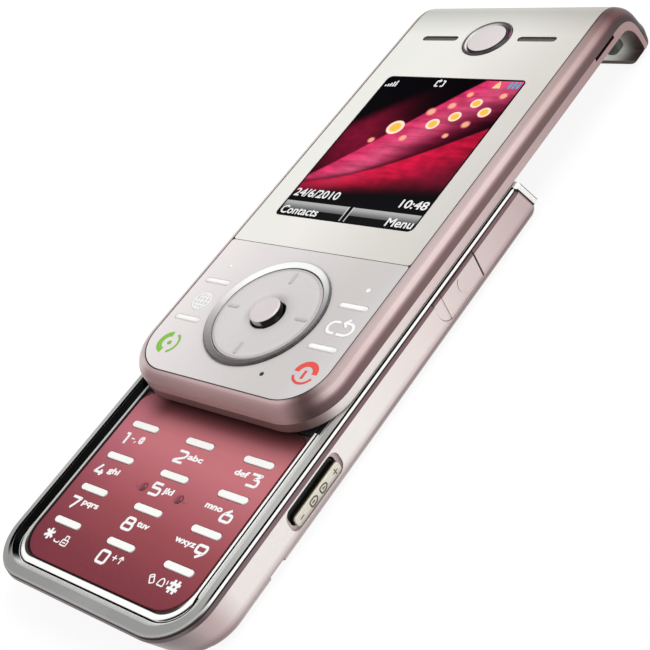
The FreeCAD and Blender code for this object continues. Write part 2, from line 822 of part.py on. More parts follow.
def slide_body():
    """Outer form of the upper half with its hooked head: the plain bar, and the bar with rounded edges."""
    x = -half_s
    k = tip_r * (1 - math.sqrt(0.5))
    outer = bend(hood_outer, 0.0, face_z)
    inner = bend(hood_inner, inner_past, slide_back_z)
    y_end, z_end = outer[-1]
    y_in, z_in = inner[-1]
    lip_y = hood_y0 + lip_past
    lip_z = hood_tip_z + lip_t
    line = Part.makeLine
    seg = [line(V(x, slide_foot_y, slide_back_z), V(x, slide_foot_y, face_z)),
           line(V(x, slide_foot_y, face_z), V(x, hood_y0, face_z)),
           curve(outer, x, (6.0, 0.0), (0.0, -3.0)),
           line(V(x, y_end, z_end), V(x, y_end, hood_tip_z + tip_r)),
           Part.Arc(V(x, y_end, hood_tip_z + tip_r), V(x, y_end - k, hood_tip_z + k),
                    V(x, y_end - tip_r, hood_tip_z)).toShape(),
           line(V(x, y_end - tip_r, hood_tip_z), V(x, lip_y, hood_tip_z)),
           line(V(x, lip_y, hood_tip_z), V(x, lip_y, lip_z)),
           line(V(x, lip_y, lip_z), V(x, y_in - 0.5, lip_z)),
           line(V(x, y_in - 0.5, lip_z), V(x, y_in, z_in)),
           curve(inner[::-1], x, (-0.6, 3.0), (-3.0, 0.0)),
           line(V(x, inner[0][0], slide_back_z), V(x, slide_foot_y, slide_back_z))]
    raw = Part.Face(Part.Wire(seg)).extrude(V(2 * half_s, 0, 0))
    upright = [e for e in edges_at_y(raw, slide_foot_y) if e.BoundBox.XLength < 0.01]
    raw = raw.makeFillet(slide_corner, upright)
    chain = []
    for e in raw.Edges:
        b = e.BoundBox
        side = abs(abs(b.XMin) - half_s) < 0.01 and b.XLength < 0.01
        if flat_at(e, face_z) and (side or b.YMax < hood_y0 - 1):
            chain.append(e)
        elif side and b.YMax > y_end - 0.1 and b.YMin > hood_y0 - 0.1:
            chain.append(e)
    return raw, raw.makeFillet(front_round, chain)


def seam_tool():
    """Everything on the inner side of the seam between the two shells."""
    x = -half_s - 1
    y0 = slide_foot_y - 20
    z0 = hood_tip_z - 5
    pts = bend(hood_seam, 0.0, seam_z)
    y_out, z_out = pts[-1]
    line = Part.makeLine
    seg = [line(V(x, y0, seam_z), V(x, hood_y0, seam_z)),
           curve(pts, x, (4.0, 0.0), (0.0, -3.0)),
           line(V(x, y_out, z_out), V(x, y_out, z0)),
           line(V(x, y_out, z0), V(x, y0, z0)),
           line(V(x, y0, z0), V(x, y0, seam_z))]
    return Part.Face(Part.Wire(seg)).extrude(V(2 * half_s + 2, 0, 0))


raw_slide, slide_form = slide_body()
seam_side = seam_tool()


def face_slab(grow, y0, y1, z0, z1):
    """A slice of the face inlay: rounded at the foot end, square at the seam, a small round at the head."""
    r0 = face_corner + grow if y0 < plate_seam_y - 5 else 0.6
    r1 = 0.6 if y1 < face_head_y - 1 else 1.2
    return slab(face_half + grow, y0, y1, r0, r1, z0, z1)


def skin(block, depth):
    """What lies less than depth below the upper half's front, within the block."""
    low = raw_slide.copy()
    low.translate(V(0, 0, -depth))
    return block.cut(low)


def slide_screw_places():
    x = half_s - 4.0
    return [(sx * x, y) for sx in (-1, 1) for y in slide_screws_y]


def build_front_shell():
    top = face_z + 1
    s = slide_form.cut(seam_side)
    s = s.cut(skin(face_slab(seat, face_foot_y - seat, face_head_y + seat, seam_z - 0.4, top), plate_t))
    # room for the board, the display and the keys
    room = slide_wall + 0.6
    s = s.cut(slab(half_s - room, slide_foot_y + room + 0.2, hood_y0 - 1.0, slide_corner - room - 0.2, 1.0,
                   slide_back_z - 1, plate_low - 0.75))
    s = s.cut(slab(face_half - 0.9, face_foot_y + 1.3, plate_seam_y - 1.6, face_corner - 1.3, 1.0,
                   slide_back_z - 1, top))
    s = s.cut(plate(0, window_y, window_w + 0.3, window_h + 0.3, 1.2, slide_back_z - 1, top))
    s = s.cut(plate(0, ear_y, 2 * slot_x + slot_len + 3.0, 2 * slot_wid, 1.0, slide_back_z - 1, top))
    return s.cut(cyl(0, ear_y, slide_back_z - 1, top, badge_r - 2.1))


def build_rear_shell():
    s = slide_form.common(seam_side)
    s = s.cut(slab(half_s - slide_wall, slide_foot_y + slide_wall, hood_y0 - 1.0, slide_corner - slide_wall, 1.0,
                   slide_back_z + 0.75, face_z))
    # strap slit in the seam, seats for the bumpers and the screws
    y = hood_y0 + 0.3
    s = s.cut(box(half_s - 1.0, half_s + 1, y - slit_len, y, seam_z - slit_h, seam_z + 0.01))
    y = hood_y0 + bumper_past
    for x in (-bumper_x, bumper_x):
        s = s.cut(Part.makeCylinder(bumper_r + seat, 4.0, V(x, y - 3.98, bumper_z), V(0, 1, 0)))
    for x, y in slide_screw_places():
        s = s.cut(cyl(x, y, slide_back_z - 1, slide_back_z + 0.5, 1.3))
        s = s.cut(cyl(x, y, slide_back_z - 1, seam_z + 1, 0.65))
    return s


def build_bumpers():
    out = []
    y0 = hood_y0 + bumper_past - bumper_t
    for x in (-bumper_x, bumper_x):
        c = Part.makeCylinder(bumper_r, bumper_t, V(x, y0, bumper_z), V(0, 1, 0))
        out.append(c.makeFillet(0.4, edges_at_y(c, y0)))
    return Part.Compound(out)


def build_display_plate():
    top = face_z + 1
    s = skin(raw_slide.common(face_slab(0.0, plate_seam_y + 0.08, face_head_y, seam_z, top)), plate_t - 0.02)
    s = s.cut(plate(0, window_y, window_w + 0.16, window_h + 0.16, 1.2, plate_low - 1, top))
    s = s.cut(cyl(0, ear_y, plate_low - 1, top, badge_r + seat))
    for x in (-slot_x, slot_x):
        s = s.cut(stadium(x, ear_y, slot_len, slot_wid, plate_low - 1, top))
    return s


def build_window():
    top = face_z - 0.04
    s = plate(0, window_y, window_w, window_h, 1.1, plate_low + 0.03, top)
    return s.makeFillet(0.12, edges_at_z(s, top))


def build_gasket():
    s = plate(0, window_y, window_w - 0.6, window_h - 0.6, 1.0, plate_low - 0.5, plate_low + 0.01)
    return s.cut(plate(0, window_y, window_w - 2.8, window_h - 2.4, 0.6, plate_low - 1, plate_low + 1))


def build_display():
    z0 = slide_back_z + 1.6
    s = plate(0, window_y - glass_shift, window_w + module_w, window_h + module_h, 0.8, z0, plate_low - 0.85)
    glass = plate(0, window_y, window_w - glass_w, window_h - glass_h, 0.4, plate_low - 0.9, plate_low - 0.06)
    back = plate(0, window_y, window_w - module_back_w, window_h - module_back_h, 0.5, z0 - 1, z0 + 0.3)
    return s.fuse(glass).cut(back).removeSplitter()


def build_keypad_plate():
    s = face_slab(0.0, face_foot_y, plate_seam_y - 0.08, plate_low + 0.02, face_z)
    s = s.cut(cyl(0, nav_y, plate_low - 1, face_z + 1, ring_r - 0.35))
    for x in (-soft_x, soft_x):
        for y in soft_y:
            s = s.cut(stadium(x, y, soft_len + 2 * key_gap, soft_wid + 2 * key_gap, plate_low - 1, face_z + 1))
    return s.cut(cyl(mic_x, mic_y, plate_low - 1, face_z + 1, 0.35))


def build_nav_ring():
    neck = ring_r - 0.4
    return turned([(ring_in_r, plate_low + 0.3), (neck, plate_low + 0.3), (neck, face_z + 0.02),
                   (ring_r, face_z + 0.02), (ring_r - 0.05, face_z + 0.42), (ring_r - 0.3, face_z + 0.5),
                   (ring_in_r + 0.12, face_z + 0.1), (ring_in_r, face_z - 0.02)], nav_y)


def build_nav_disc():
    r_in = centre_r + centre_gap
    s = turned([(r_in, disc_low), (disc_r, disc_low), (disc_r, disc_top - 0.12), (disc_r - 0.14, disc_top),
                (r_in + 2.7, disc_top), (r_in + 1.3, disc_top - 0.1), (r_in, disc_top - 0.45)], nav_y)
    for a in (0, 90, 180, 270):
        mark = plate((disc_r + r_in) / 2.0 + 1.05, nav_y, 2.8, 0.6, 0.29, disc_top - 0.05, disc_top + 0.1)
        mark.rotate(V(0, nav_y, 0), V(0, 0, 1), a)
        s = s.fuse(mark)
    hub = cyl(0, nav_y, disc_low - 0.35, disc_low + 0.02, disc_r - 4.5)
    hub = hub.cut(cyl(0, nav_y, disc_low - 1, disc_low + 1, r_in + 1.58))
    return s.fuse(hub).removeSplitter()


def build_nav_core():
    """Tilting ring under the disc, on two short pins."""
    z = plate_low - 0.9
    r = core_r
    s = cyl(0, nav_y, z - 0.2, z + 0.2, r).cut(cyl(0, nav_y, z - 1, z + 1, r * core_hole_share))
    for x in (-r - core_pin + core_pin_in, r - core_pin_in):
        s = s.fuse(rod_x(x, x + core_pin, nav_y, z, 0.2))
    return s.removeSplitter()


def build_centre_key():
    top = face_z + centre_proud
    z = plate_low - 0.3
    s = cyl(0, nav_y, z, top, centre_r)
    s = s.makeFillet(0.28, edges_at_z(s, top))
    return fuse([s, cyl(0, nav_y, z - 0.5, z, centre_r + 0.4), cyl(0, nav_y, z - 0.75, z - 0.5, 1.0)])


def build_nav_domes():
    z = slide_board_top
    s = slab(face_half - dome_sheet_in, face_foot_y + dome_sheet_foot, plate_seam_y - dome_sheet_foot,
             face_corner - dome_sheet_in + 0.2, 1.0, z, z + 0.1)
    s = s.cut(cyl(mic_x, mic_y, z - 1, z + 1, mic_r + mic_room))
    reach = disc_r - dome_in
    for dx, dy in ((0, 0), (reach, 0), (-reach, 0), (0, reach), (0, -reach)):
        s = s.fuse(cyl(dx, nav_y + dy, z, z + 0.22, dome_r))
    for x in (-soft_x + key_dome_in, soft_x - key_dome_in):
        for y in (soft_y[0] + 4.0, soft_y[1] + 4.5, soft_y[1] - 5.8):
            s = s.fuse(cyl(x, y, z, z + 0.3, key_dome_r))
    return s


def build_slide_board():
    z1 = slide_board_top
    z0 = z1 - 0.7
    edge = slide_board_in
    s = slab(face_half - edge, face_foot_y + edge, plate_seam_y + slide_board_past, face_corner - edge, 1.0, z0, z1)
    plug = plate(connector_x, nav_y + connector_up, face_half - connector_in, connector_w, 0.8, z0 - 1.0, z0)
    return s.fuse(plug).removeSplitter()


def build_microphone():
    s = cyl(mic_x, mic_y, slide_board_top, plate_low - 0.3, mic_r)
    return s.cut(cyl(mic_x, mic_y, plate_low - 0.6, plate_low, 0.6))


def build_ear_mesh():
    z = plate_low + 0.25
    count = 12
    pitch = (slot_len - 1.8) / (count - 1)
    out = []
    for x in (-slot_x, slot_x):
        m = stadium(x, ear_y, slot_len - 0.1, slot_wid - 0.1, z, z + 0.25)
        for i in range(count):
            for dy in (-0.3, 0.3):
                m = m.cut(cyl(x - slot_len / 2.0 + 0.9 + i * pitch, ear_y + dy, z - 1, z + 1, 0.17))
        out.append(m)
    return Part.Compound(out)


def build_ear_speaker():
    z1 = plate_low - 0.8
    w = 2 * badge_r + 2.8
    h = badge_r + 0.9
    s = plate(0, ear_y - 0.5, w, h, 2.0, slide_back_z + 1.3, z1)
    return s.cut(plate(0, ear_y - 0.5, w - 3.0, h - 2.4, 1.4, z1 - 0.3, z1 + 1))


def build_badge_ring():
    return turned([(badge_in_r, plate_low + 0.25), (badge_r, plate_low + 0.25), (badge_r, face_z + 0.12),
                   (badge_r - 0.3, face_z + 0.42), (badge_r - 0.75, face_z + 0.42),
                   (badge_in_r, face_z - 0.02)], ear_y)


def build_badge_disc():
    ball = 30.0
    z = face_z - 0.25
    s = cyl(0, ear_y, z - 0.3, z + 1.0, badge_in_r - 0.04)
    return s.common(Part.makeSphere(ball, V(0, ear_y, z + 0.38 - ball)))


def build_slide_screws():
    z = slide_back_z
    return Part.Compound([screw(x, y, z + 0.08, z + 0.48, 1.2, 0.6, z + 1.5) for x, y in slide_screw_places()])


parts["base_housing"] = build_housing()
parts["bezel_frame"] = build_bezel()
parts["keypad_sheet"] = build_sheet()
parts["keypad_domes"] = build_domes()
parts["main_board"] = build_board()
parts["deck_plate"] = build_deck()
parts["rail_plate"] = build_rail()
parts["chassis_frame"] = build_frame()
parts["battery"] = build_battery()
parts["battery_contacts"] = build_contacts()
parts["card_holder"] = build_card_holder()
parts["loudspeaker"] = build_loudspeaker()
parts["vibration_motor"] = build_motor()
parts["antenna_carrier"] = build_antenna()
parts["side_socket"] = build_socket()
parts["rocker_switches"] = build_switches()
parts["camera_ring"] = build_camera_ring()
parts["camera_lens"] = build_camera_lens()
parts["base_screws"] = build_base_screws()
for name, (cx, cy) in zip(key_names, key_centres()):
    parts[name] = build_key(cx, cy, rim_z + key_proud, rim_z - sheet_t - seat, bar_len, bar_wid)
parts["side_rocker"] = build_rocker()
parts["port_flap"] = build_flap()
parts["rear_cover"] = build_cover()
parts["slide_front_shell"] = build_front_shell()
parts["slide_rear_shell"] = build_rear_shell()
parts["display_plate"] = build_display_plate()
parts["screen_window"] = build_window()
parts["window_gasket"] = build_gasket()
parts["display_module"] = build_display()
parts["keypad_plate"] = build_keypad_plate()
parts["nav_ring"] = build_nav_ring()
parts["nav_domes"] = build_nav_domes()
parts["slide_board"] = build_slide_board()
parts["microphone"] = build_microphone()
parts["earpiece_mesh"] = build_ear_mesh()
parts["earpiece_speaker"] = build_ear_speaker()
parts["badge_ring"] = build_badge_ring()
parts["badge_disc"] = build_badge_disc()
parts["carriage_plate"] = build_carriage()
parts["hood_bumpers"] = build_bumpers()
parts["slide_screws"] = build_slide_screws()
parts["nav_core"] = build_nav_core()
parts["nav_disc"] = build_nav_disc()
parts["centre_key"] = build_centre_key()
for name, x, cy in (("soft_key_left", -soft_x, soft_y[0]), ("web_key", -soft_x, soft_y[1]),
                    ("soft_key_right", soft_x, soft_y[0]), ("clear_key", soft_x, soft_y[1])):
    parts[name] = build_key(x, cy, face_z + soft_proud, plate_low - 0.1, soft_len, soft_wid)

for name, shape in parts.items():
    shape.exportStep("parts/" + name + ".step")
    b = shape.BoundBox
    print(name, shape.isValid(), len(shape.Solids), round(shape.Volume, 1),
          [round(v, 2) for v in (b.XMin, b.XMax, b.YMin, b.YMax, b.ZMin, b.ZMax)])
print("pieces", len(parts))
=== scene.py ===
import bmesh
import bpy
import math
from mathutils import Matrix, Vector


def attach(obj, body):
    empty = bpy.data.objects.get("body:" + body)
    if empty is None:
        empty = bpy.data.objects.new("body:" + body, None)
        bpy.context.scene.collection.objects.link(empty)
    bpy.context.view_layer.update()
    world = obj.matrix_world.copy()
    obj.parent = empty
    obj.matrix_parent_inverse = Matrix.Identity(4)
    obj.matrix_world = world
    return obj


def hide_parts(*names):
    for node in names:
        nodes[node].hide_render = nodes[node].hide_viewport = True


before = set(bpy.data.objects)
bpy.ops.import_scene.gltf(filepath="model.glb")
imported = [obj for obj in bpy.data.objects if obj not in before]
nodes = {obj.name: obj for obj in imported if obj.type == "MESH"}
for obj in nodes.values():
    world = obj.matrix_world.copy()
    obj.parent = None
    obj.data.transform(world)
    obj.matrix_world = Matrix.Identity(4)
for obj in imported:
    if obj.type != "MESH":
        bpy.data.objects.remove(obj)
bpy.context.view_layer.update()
scene = bpy.context.scene
scene.view_settings.view_transform = "Standard"
mm = 0.001
# centres that finishes and pieces share, in millimetres
spots = dict(navY=6.15, rockerY=-19.0, glassY=50.0, badgeY=83.0)
print("frame loaded,", len(nodes), "nodes")


def screenColour(r, g, b):
    # 0-255 screen values to what a colour socket takes
    out = [c / 255.0 for c in (r, g, b)]
    out = [c / 12.92 if c <= 0.04045 else ((c + 0.055) / 1.055) ** 2.4 for c in out]
    return (out[0], out[1], out[2], 1.0)


class Wire:
    # a node's output that plain sums can be made with
    def __init__(self, socket):
        self.socket = socket

    def __add__(self, other):
        return calc("ADD", self, other)

    def __radd__(self, other):
        return calc("ADD", other, self)

    def __sub__(self, other):
        return calc("SUBTRACT", self, other)

    def __rsub__(self, other):
        return calc("SUBTRACT", other, self)

    def __mul__(self, other):
        return calc("MULTIPLY", self, other)

    def __rmul__(self, other):
        return calc("MULTIPLY", other, self)

    def __truediv__(self, other):
        return calc("DIVIDE", self, other)

    def __abs__(self):
        return calc("ABSOLUTE", self)


# small helpers that wire nodes; a value is a wire, a number or a colour as three screen values
def treeOf(*values):
    return next(v.socket.id_data for v in values if isinstance(v, Wire))


def put(socket, value):
    if isinstance(value, Wire):
        socket.id_data.links.new(value.socket, socket)
    elif socket.type == "RGBA" and len(value) == 3:
        socket.default_value = screenColour(*value)
    else:
        socket.default_value = value


def calc(operation, *values):
    n = treeOf(*values).nodes.new("ShaderNodeMath")
    n.operation = operation
    for socket, value in zip(n.inputs, values):
        put(socket, value)
    return Wire(n.outputs[0])


def most(first, *others):
    for other in others:
        first = calc("MAXIMUM", first, other)
    return first


def distance(x, y):
    return calc("SQRT", x * x + y * y)


def roundFoot(place, flatX, flatY):
    # how far out from an outline's straight core, whose two foot corners are at flatX and flatY
    return distance(most(abs(place[0]) - flatX * mm, 0.0), most(flatY * mm - place[1], 0.0))


def bearingOf(y, x):
    # from -1 to 1, in half turns
    return calc("ARCTAN2", y, x) / math.pi


def blendColour(amount, a, b, how="MIX"):
    n = treeOf(amount, a, b).nodes.new("ShaderNodeMix")
    n.data_type = "RGBA"
    n.blend_type = how
    n.clamp_factor = True
    for i, value in ((0, amount), (6, a), (7, b)):
        put(n.inputs[i], value)
    return Wire(n.outputs[2])


def tint(base, shade, amount=1.0):
    return blendColour(amount, base, shade, "MULTIPLY")


def span(value, low, high, outLow=0.0, outHigh=1.0, smooth=True):
    n = treeOf(value).nodes.new("ShaderNodeMapRange")
    n.interpolation_type = "SMOOTHSTEP" if smooth else "LINEAR"
    for label, v in (("Value", value), ("From Min", low), ("From Max", high), ("To Min", outLow),
                     ("To Max", outHigh)):
        put(n.inputs[label], v)
    return Wire(n.outputs["Result"])


def between(share, low, high):
    # a share from 0 to 1, turned into a value from low to high
    return span(share, 0.0, 1.0, low, high, False)


def fade(value, low, high, outLow=0.0, outHigh=1.0):
    # a smooth step between two places in millimetres
    return span(value, low * mm, high * mm, outLow, outHigh)


def coords(tree, kind="Object"):
    return Wire(tree.nodes.new("ShaderNodeTexCoord").outputs[kind])


def axes(vector):
    n = treeOf(vector).nodes.new("ShaderNodeSeparateXYZ")
    put(n.inputs[0], vector)
    return [Wire(out) for out in n.outputs]


def ramp(value, stops, unit=1.0):
    # colours along a value, as {place: colour}; unit=mm where the places are millimetres
    places = [place * unit for place in stops]
    first, last = places[0], places[-1]
    n = treeOf(value).nodes.new("ShaderNodeValToRGB")
    put(n.inputs[0], span(value, first, last, smooth=False))
    band = n.color_ramp.elements
    band.remove(band[1])
    band[0].position = 0.0
    colours = [screenColour(*colour) for colour in stops.values()]
    band[0].color = colours[0]
    for place, colour in zip(places[1:], colours[1:]):
        band.new((place - first) / (last - first)).color = colour
    return Wire(n.outputs[0])


def noise(vector, scale, detail=2.0, rough=0.5):
    n = treeOf(vector).nodes.new("ShaderNodeTexNoise")
    for label, value in (("Vector", vector), ("Scale", scale), ("Detail", detail), ("Roughness", rough)):
        put(n.inputs[label], value)
    return Wire(n.outputs["Fac"])


def bricks(vector, scale, mortar):
    n = treeOf(vector).nodes.new("ShaderNodeTexBrick")
    for label, value in (("Vector", vector), ("Scale", scale), ("Mortar Size", mortar)):
        put(n.inputs[label], value)
    return Wire(n.outputs["Fac"])


def bumpFrom(height, distance, strength=0.4):
    n = treeOf(height).nodes.new("ShaderNodeBump")
    for label, value in (("Height", height), ("Distance", distance), ("Strength", strength)):
        put(n.inputs[label], value)
    return Wire(n.outputs[0])


def newGroup(name, inputs, outputs):
    # inputs are {label: value}; one without a number is a vector
    g = bpy.data.node_groups.new(name, "ShaderNodeTree")
    for label, value in inputs.items():
        kind = "NodeSocketFloat" if isinstance(value, float) else "NodeSocketVector"
        s = g.interface.new_socket(name=label, in_out="INPUT", socket_type=kind)
        if value is not None:
            s.default_value = value
    for label in outputs:
        g.interface.new_socket(name=label, in_out="OUTPUT", socket_type="NodeSocketFloat")
    given = {out.name: Wire(out) for out in g.nodes.new("NodeGroupInput").outputs}
    return g, given, g.nodes.new("NodeGroupOutput").inputs


def useGroup(group, **values):
    n = treeOf(*values.values()).nodes.new("ShaderNodeGroup")
    n.node_tree = group
    for label, value in values.items():
        put(n.inputs[label], value)
    return {out.name: Wire(out) for out in n.outputs}


# fine pearl flecks and the slight orange peel of sprayed paint
paintGrain, given, gives = newGroup("paintGrain", dict(Vector=None, Scale=7000.0, Contrast=0.3),
                                    ["Fleck", "Height"])
flecks = paintGrain.nodes.new("ShaderNodeTexVoronoi")
put(flecks.inputs["Vector"], given["Vector"])
put(flecks.inputs["Scale"], given["Scale"])
apart = paintGrain.nodes.new("ShaderNodeSeparateColor")
put(apart.inputs[0], Wire(flecks.outputs["Color"]))
put(gives["Fleck"], Wire(apart.outputs[0]) * given["Contrast"])
put(gives["Height"], noise(given["Vector"], given["Scale"] * 0.09, 1.0))

# long fine scratches left by a brush or a lathe, stretched along one axis
brushLines, given, gives = newGroup("brushLines", dict(Vector=None, Stretch=(1.0, 30.0, 30.0), Scale=500.0),
                                    ["Line", "Height"])
stretched = brushLines.nodes.new("ShaderNodeVectorMath")
stretched.operation = "MULTIPLY"
put(stretched.inputs[0], given["Vector"])
put(stretched.inputs[1], given["Stretch"])
fine = noise(Wire(stretched.outputs[0]), given["Scale"], 3.0, 0.65)
put(gives["Line"], span(fine, 0.3, 0.7, smooth=False))
put(gives["Height"], fine)

# faint clouds where hands have touched
handling, given, gives = newGroup("handling", dict(Vector=None, Scale=60.0), ["Cloud"])
put(gives["Cloud"], span(noise(given["Vector"], given["Scale"], 3.0, 0.6), 0.38, 0.68))

# which way a place on a shell faces: to the right, the left, the foot, round a corner, and how far up
facing, given, gives = newGroup("facing", dict(Normal=None), ["Right", "Left", "Foot", "Corner", "Up"])
part = axes(given["Normal"])
level = most(distance(part[0], part[1]), 0.02)
across = part[0] / level
footward = part[1] / level * -1.0
put(gives["Right"], span(across, 0.3, 0.85))
put(gives["Left"], span(across, -0.15, -0.6))
put(gives["Foot"], span(footward, 0.35, 0.95))
put(gives["Corner"], span(across, 0.25, 0.7) * span(footward, 0.25, 0.7))
put(gives["Up"], part[2])


def facingOf(tree):
    return useGroup(facing, Normal=coords(tree, "Normal"))


def cloudOver(where, scale):
    return useGroup(handling, Vector=where, Scale=scale)["Cloud"]


def bareTree(owner):
    owner.use_nodes = True
    owner.node_tree.nodes.clear()
    return owner.node_tree


def newMaterial(name, metallic=0.0, rough=0.4, coat=0.0, coatRough=0.06, level=0.5, ior=1.5):
    m = bpy.data.materials.new(name)
    tree = bareTree(m)
    shader = tree.nodes.new("ShaderNodeBsdfPrincipled")
    out = tree.nodes.new("ShaderNodeOutputMaterial")
    tree.links.new(shader.outputs[0], out.inputs[0])
    for label, value in (("Metallic", metallic), ("Roughness", rough), ("Coat Weight", coat),
                         ("Coat Roughness", coatRough), ("Specular IOR Level", level), ("IOR", ior)):
        shader.inputs[label].default_value = value
    return m, tree, shader.inputs


def sprayPaint(name, v):
    # pearl paint: base colour, lighter flecks, a touch of cloud in the gloss
    v = dict(metallic=0.0, coat=0.0, coatRough=0.12, grain=12000.0, sparkle=0.5, peel=0.006) | v
    m, tree, s = newMaterial(name, v["metallic"], v["rough"], v["coat"], v["coatRough"])
    where = coords(tree)
    grain = useGroup(paintGrain, Vector=where, Scale=v["grain"], Contrast=v["sparkle"])
    body = blendColour(grain["Fleck"], v["colour"], v["fleck"])
    put(s["Base Color"], body)
    put(s["Roughness"], between(cloudOver(where, 55.0), v["rough"] - 0.03, v["rough"] + 0.05))
    put(s["Normal"], bumpFrom(grain["Height"], v["peel"] * mm, 0.35))
    return m, tree, s, axes(where), body


def metal(name, v):
    # bare metal with brush lines; stretch says which way they run
    m, tree, s = newMaterial(name, v.get("metallic", 1.0), v["rough"], v.get("coat", 0.0))
    where = coords(tree)
    lines = useGroup(brushLines, Vector=where, Stretch=v["stretch"], Scale=v["scale"])
    tone = blendColour(lines["Line"], v["colour"], v["bright"])
    put(s["Base Color"], tone)
    put(s["Roughness"], between(cloudOver(where, 70.0), v["rough"] * 0.85, v["rough"] * 1.25))
    put(s["Normal"], bumpFrom(lines["Height"], v["depth"] * mm, 0.3))
    return m, tree, s, axes(where), tone


def mouldedPlastic(name, v):
    # plain moulded part with a spark-eroded grain
    m, tree, s = newMaterial(name, 0.0, v["rough"], level=v.get("level", 0.4))
    grain = noise(coords(tree), v["grain"], 2.0, 0.6)
    put(s["Base Color"], blendColour(grain, v["colour"], v["light"]))
    put(s["Roughness"], span(grain, 0.3, 0.7, v["rough"] - 0.06, v["rough"] + 0.08, False))
    put(s["Normal"], bumpFrom(grain, 0.02 * mm, 0.5))
    return m


# rose pearl of the upper shell, with painted light and shade by which way it faces: a painted highlight
# along its rounded edge, painted shade on the walls
rosePaint = dict(colour=(240, 228, 228), fleck=(255, 250, 248), rough=0.38, coat=0.08, coatRough=0.15,
                 grain=9000.0, sparkle=0.35, peel=0.012)
roseShell, tree, s, place, body = sprayPaint("roseShell", rosePaint)
s["Specular IOR Level"].default_value = 0.3
way = facingOf(tree)
# painted light and shade by how far the surface faces up: a highlight on the rounding, darker on the upright
# wall
wallShading = ramp(way["Up"], {0.0: (124, 98, 98), 0.12: (136, 110, 110), 0.28: (180, 158, 158),
                        0.45: (236, 222, 221), 0.68: (242, 230, 228), 0.8: (206, 192, 191),
                        0.9: (188, 174, 173), 0.97: (200, 190, 189), 1.0: (196, 188, 187)})
# painted light and shade along the length: lightest a little headward of the middle, darkest at the hook
along = ramp(place[1], {-13: (232, 230, 230), 0: (242, 238, 238), 16: (255, 255, 255), 48: (252, 248, 248),
                        72: (230, 222, 220), 84: (202, 188, 186), 88: (164, 138, 138), 91: (112, 78, 80),
                        98: (92, 60, 62)}, mm)
# painted light on the walls that face left
leftWallLight = ramp(way["Up"], {0.0: (178, 164, 163), 0.5: (228, 220, 217), 0.75: (252, 246, 243),
                            0.93: (248, 240, 238), 0.98: (228, 222, 220), 1.0: (196, 190, 188)})
leftWallLight = tint(leftWallLight, ramp(place[1], {-5: (236, 234, 234), 8: (236, 234, 234), 34: (255, 255, 255),
                                          50: (255, 255, 255), 76: (234, 230, 228)}, mm))
# painted shade on the walls that face the foot, deeper to the left
footWallShade = ramp(way["Up"], {0.0: (212, 188, 185), 0.25: (206, 178, 176), 0.5: (197, 165, 165),
                            0.72: (192, 161, 162), 0.87: (200, 170, 171), 0.96: (228, 206, 207),
                            1.0: (200, 190, 188)})
footWallShade = tint(footWallShade, ramp(place[0], {-18: (230, 230, 230), -3: (255, 255, 255)}, mm))
tone = blendColour(way["Foot"], wallShading, footWallShade)
tone = tint(tone, along)
tone = blendColour(way["Left"], tone, leftWallLight)
# painted shade round the corners
tone = tint(tone, (116, 96, 96), way["Corner"])
# fine shadow line where the inlay meets the shell
away = roundFoot(place, 14, -2.5)
seam = fade(away, 8.27, 8.19) * fade(place[2], 14.1, 14.2)
tone = tint(tone, blendColour(fade(place[0], 4, -16), (104, 92, 92), (30, 26, 26)), seam)
put(s["Base Color"], tint(body, tone))

# height of the hook's tip, and the strength of the painted bounce light that makes the inside of the hook
# glow
hook = dict(tip=0.97, glow=0.45)
palePaint = dict(colour=(240, 234, 232), fleck=(255, 252, 250), metallic=0.1, rough=0.36, coat=0.25,
                 grain=9000.0, sparkle=0.4, peel=0.012)
paleShell, tree, s, place, body = sprayPaint("paleShell", palePaint)
# pearl in painted shade, from near white by the keypad to mauve at the hook
way = facingOf(tree)
along = ramp(place[1], {-12: (216, 200, 200), -6: (250, 246, 244), 4: (252, 248, 246), 20: (240, 224, 223),
                        45: (212, 190, 190), 60: (190, 168, 168), 72: (180, 152, 153), 86: (170, 136, 137),
                        100: (170, 136, 136)}, mm)
# painted shade on the walls that face the foot
tone = blendColour(way["Foot"], along, (126, 100, 97))
# inside of the hook: painted light, pale by the stops, and painted shade, dark in the corner and on the
# tip's edge; a near black strap slit
inside = fade(place[1], 90.5, 91.5) * fade(abs(place[0]), 24.3, 24.2)
depth = abs(place[0])
hollowShade = ramp(depth, {0: (226, 226, 222), 15: (232, 234, 230), 18: (206, 208, 203), 20.5: (150, 150, 146),
                      22.6: (92, 86, 84), 23.6: (80, 62, 62)}, mm)
tipEdgeShade = span(way["Up"], 0.3, 0.2) * fade(place[2], hook["tip"], hook["tip"] - 0.06)
hollowShade = blendColour(tipEdgeShade, hollowShade, (64, 34, 37))
# painted bounce light: the inside of the hook glows, most near the stops
lit = inside * (1.0 - tipEdgeShade) * fade(place[2], 8.2, 5.0)
lit = lit * fade(depth, 22.2, 17.5) * fade(depth, 2.0, 14.0, 0.3, 1.0)
put(s["Emission Color"], blendColour(lit, (0, 0, 0), (206, 208, 202)))
s["Emission Strength"].default_value = hook["glow"]
tone = blendColour(inside, tone, hollowShade)
# painted shade inside the strap slit
slitShade = (fade(abs(place[0]), 24.32, 24.25) * fade(place[1], 81.5, 81.8) * fade(place[1], 90.2, 89.9)
        * fade(place[2], 10.0, 10.15))
tone = tint(tone, (70, 34, 36), slitShade)
# painted shade round the corners
tone = tint(tone, (178, 164, 164), way["Corner"])
put(s["Base Color"], tint(body, tone))

housingPaint = dict(colour=(246, 243, 242), fleck=(255, 254, 252), metallic=0.08, rough=0.36, coat=0.25,
                    grain=9000.0, sparkle=0.4, peel=0.012)
paleHousing, tree, s, place, body = sprayPaint("paleHousing", housingPaint)
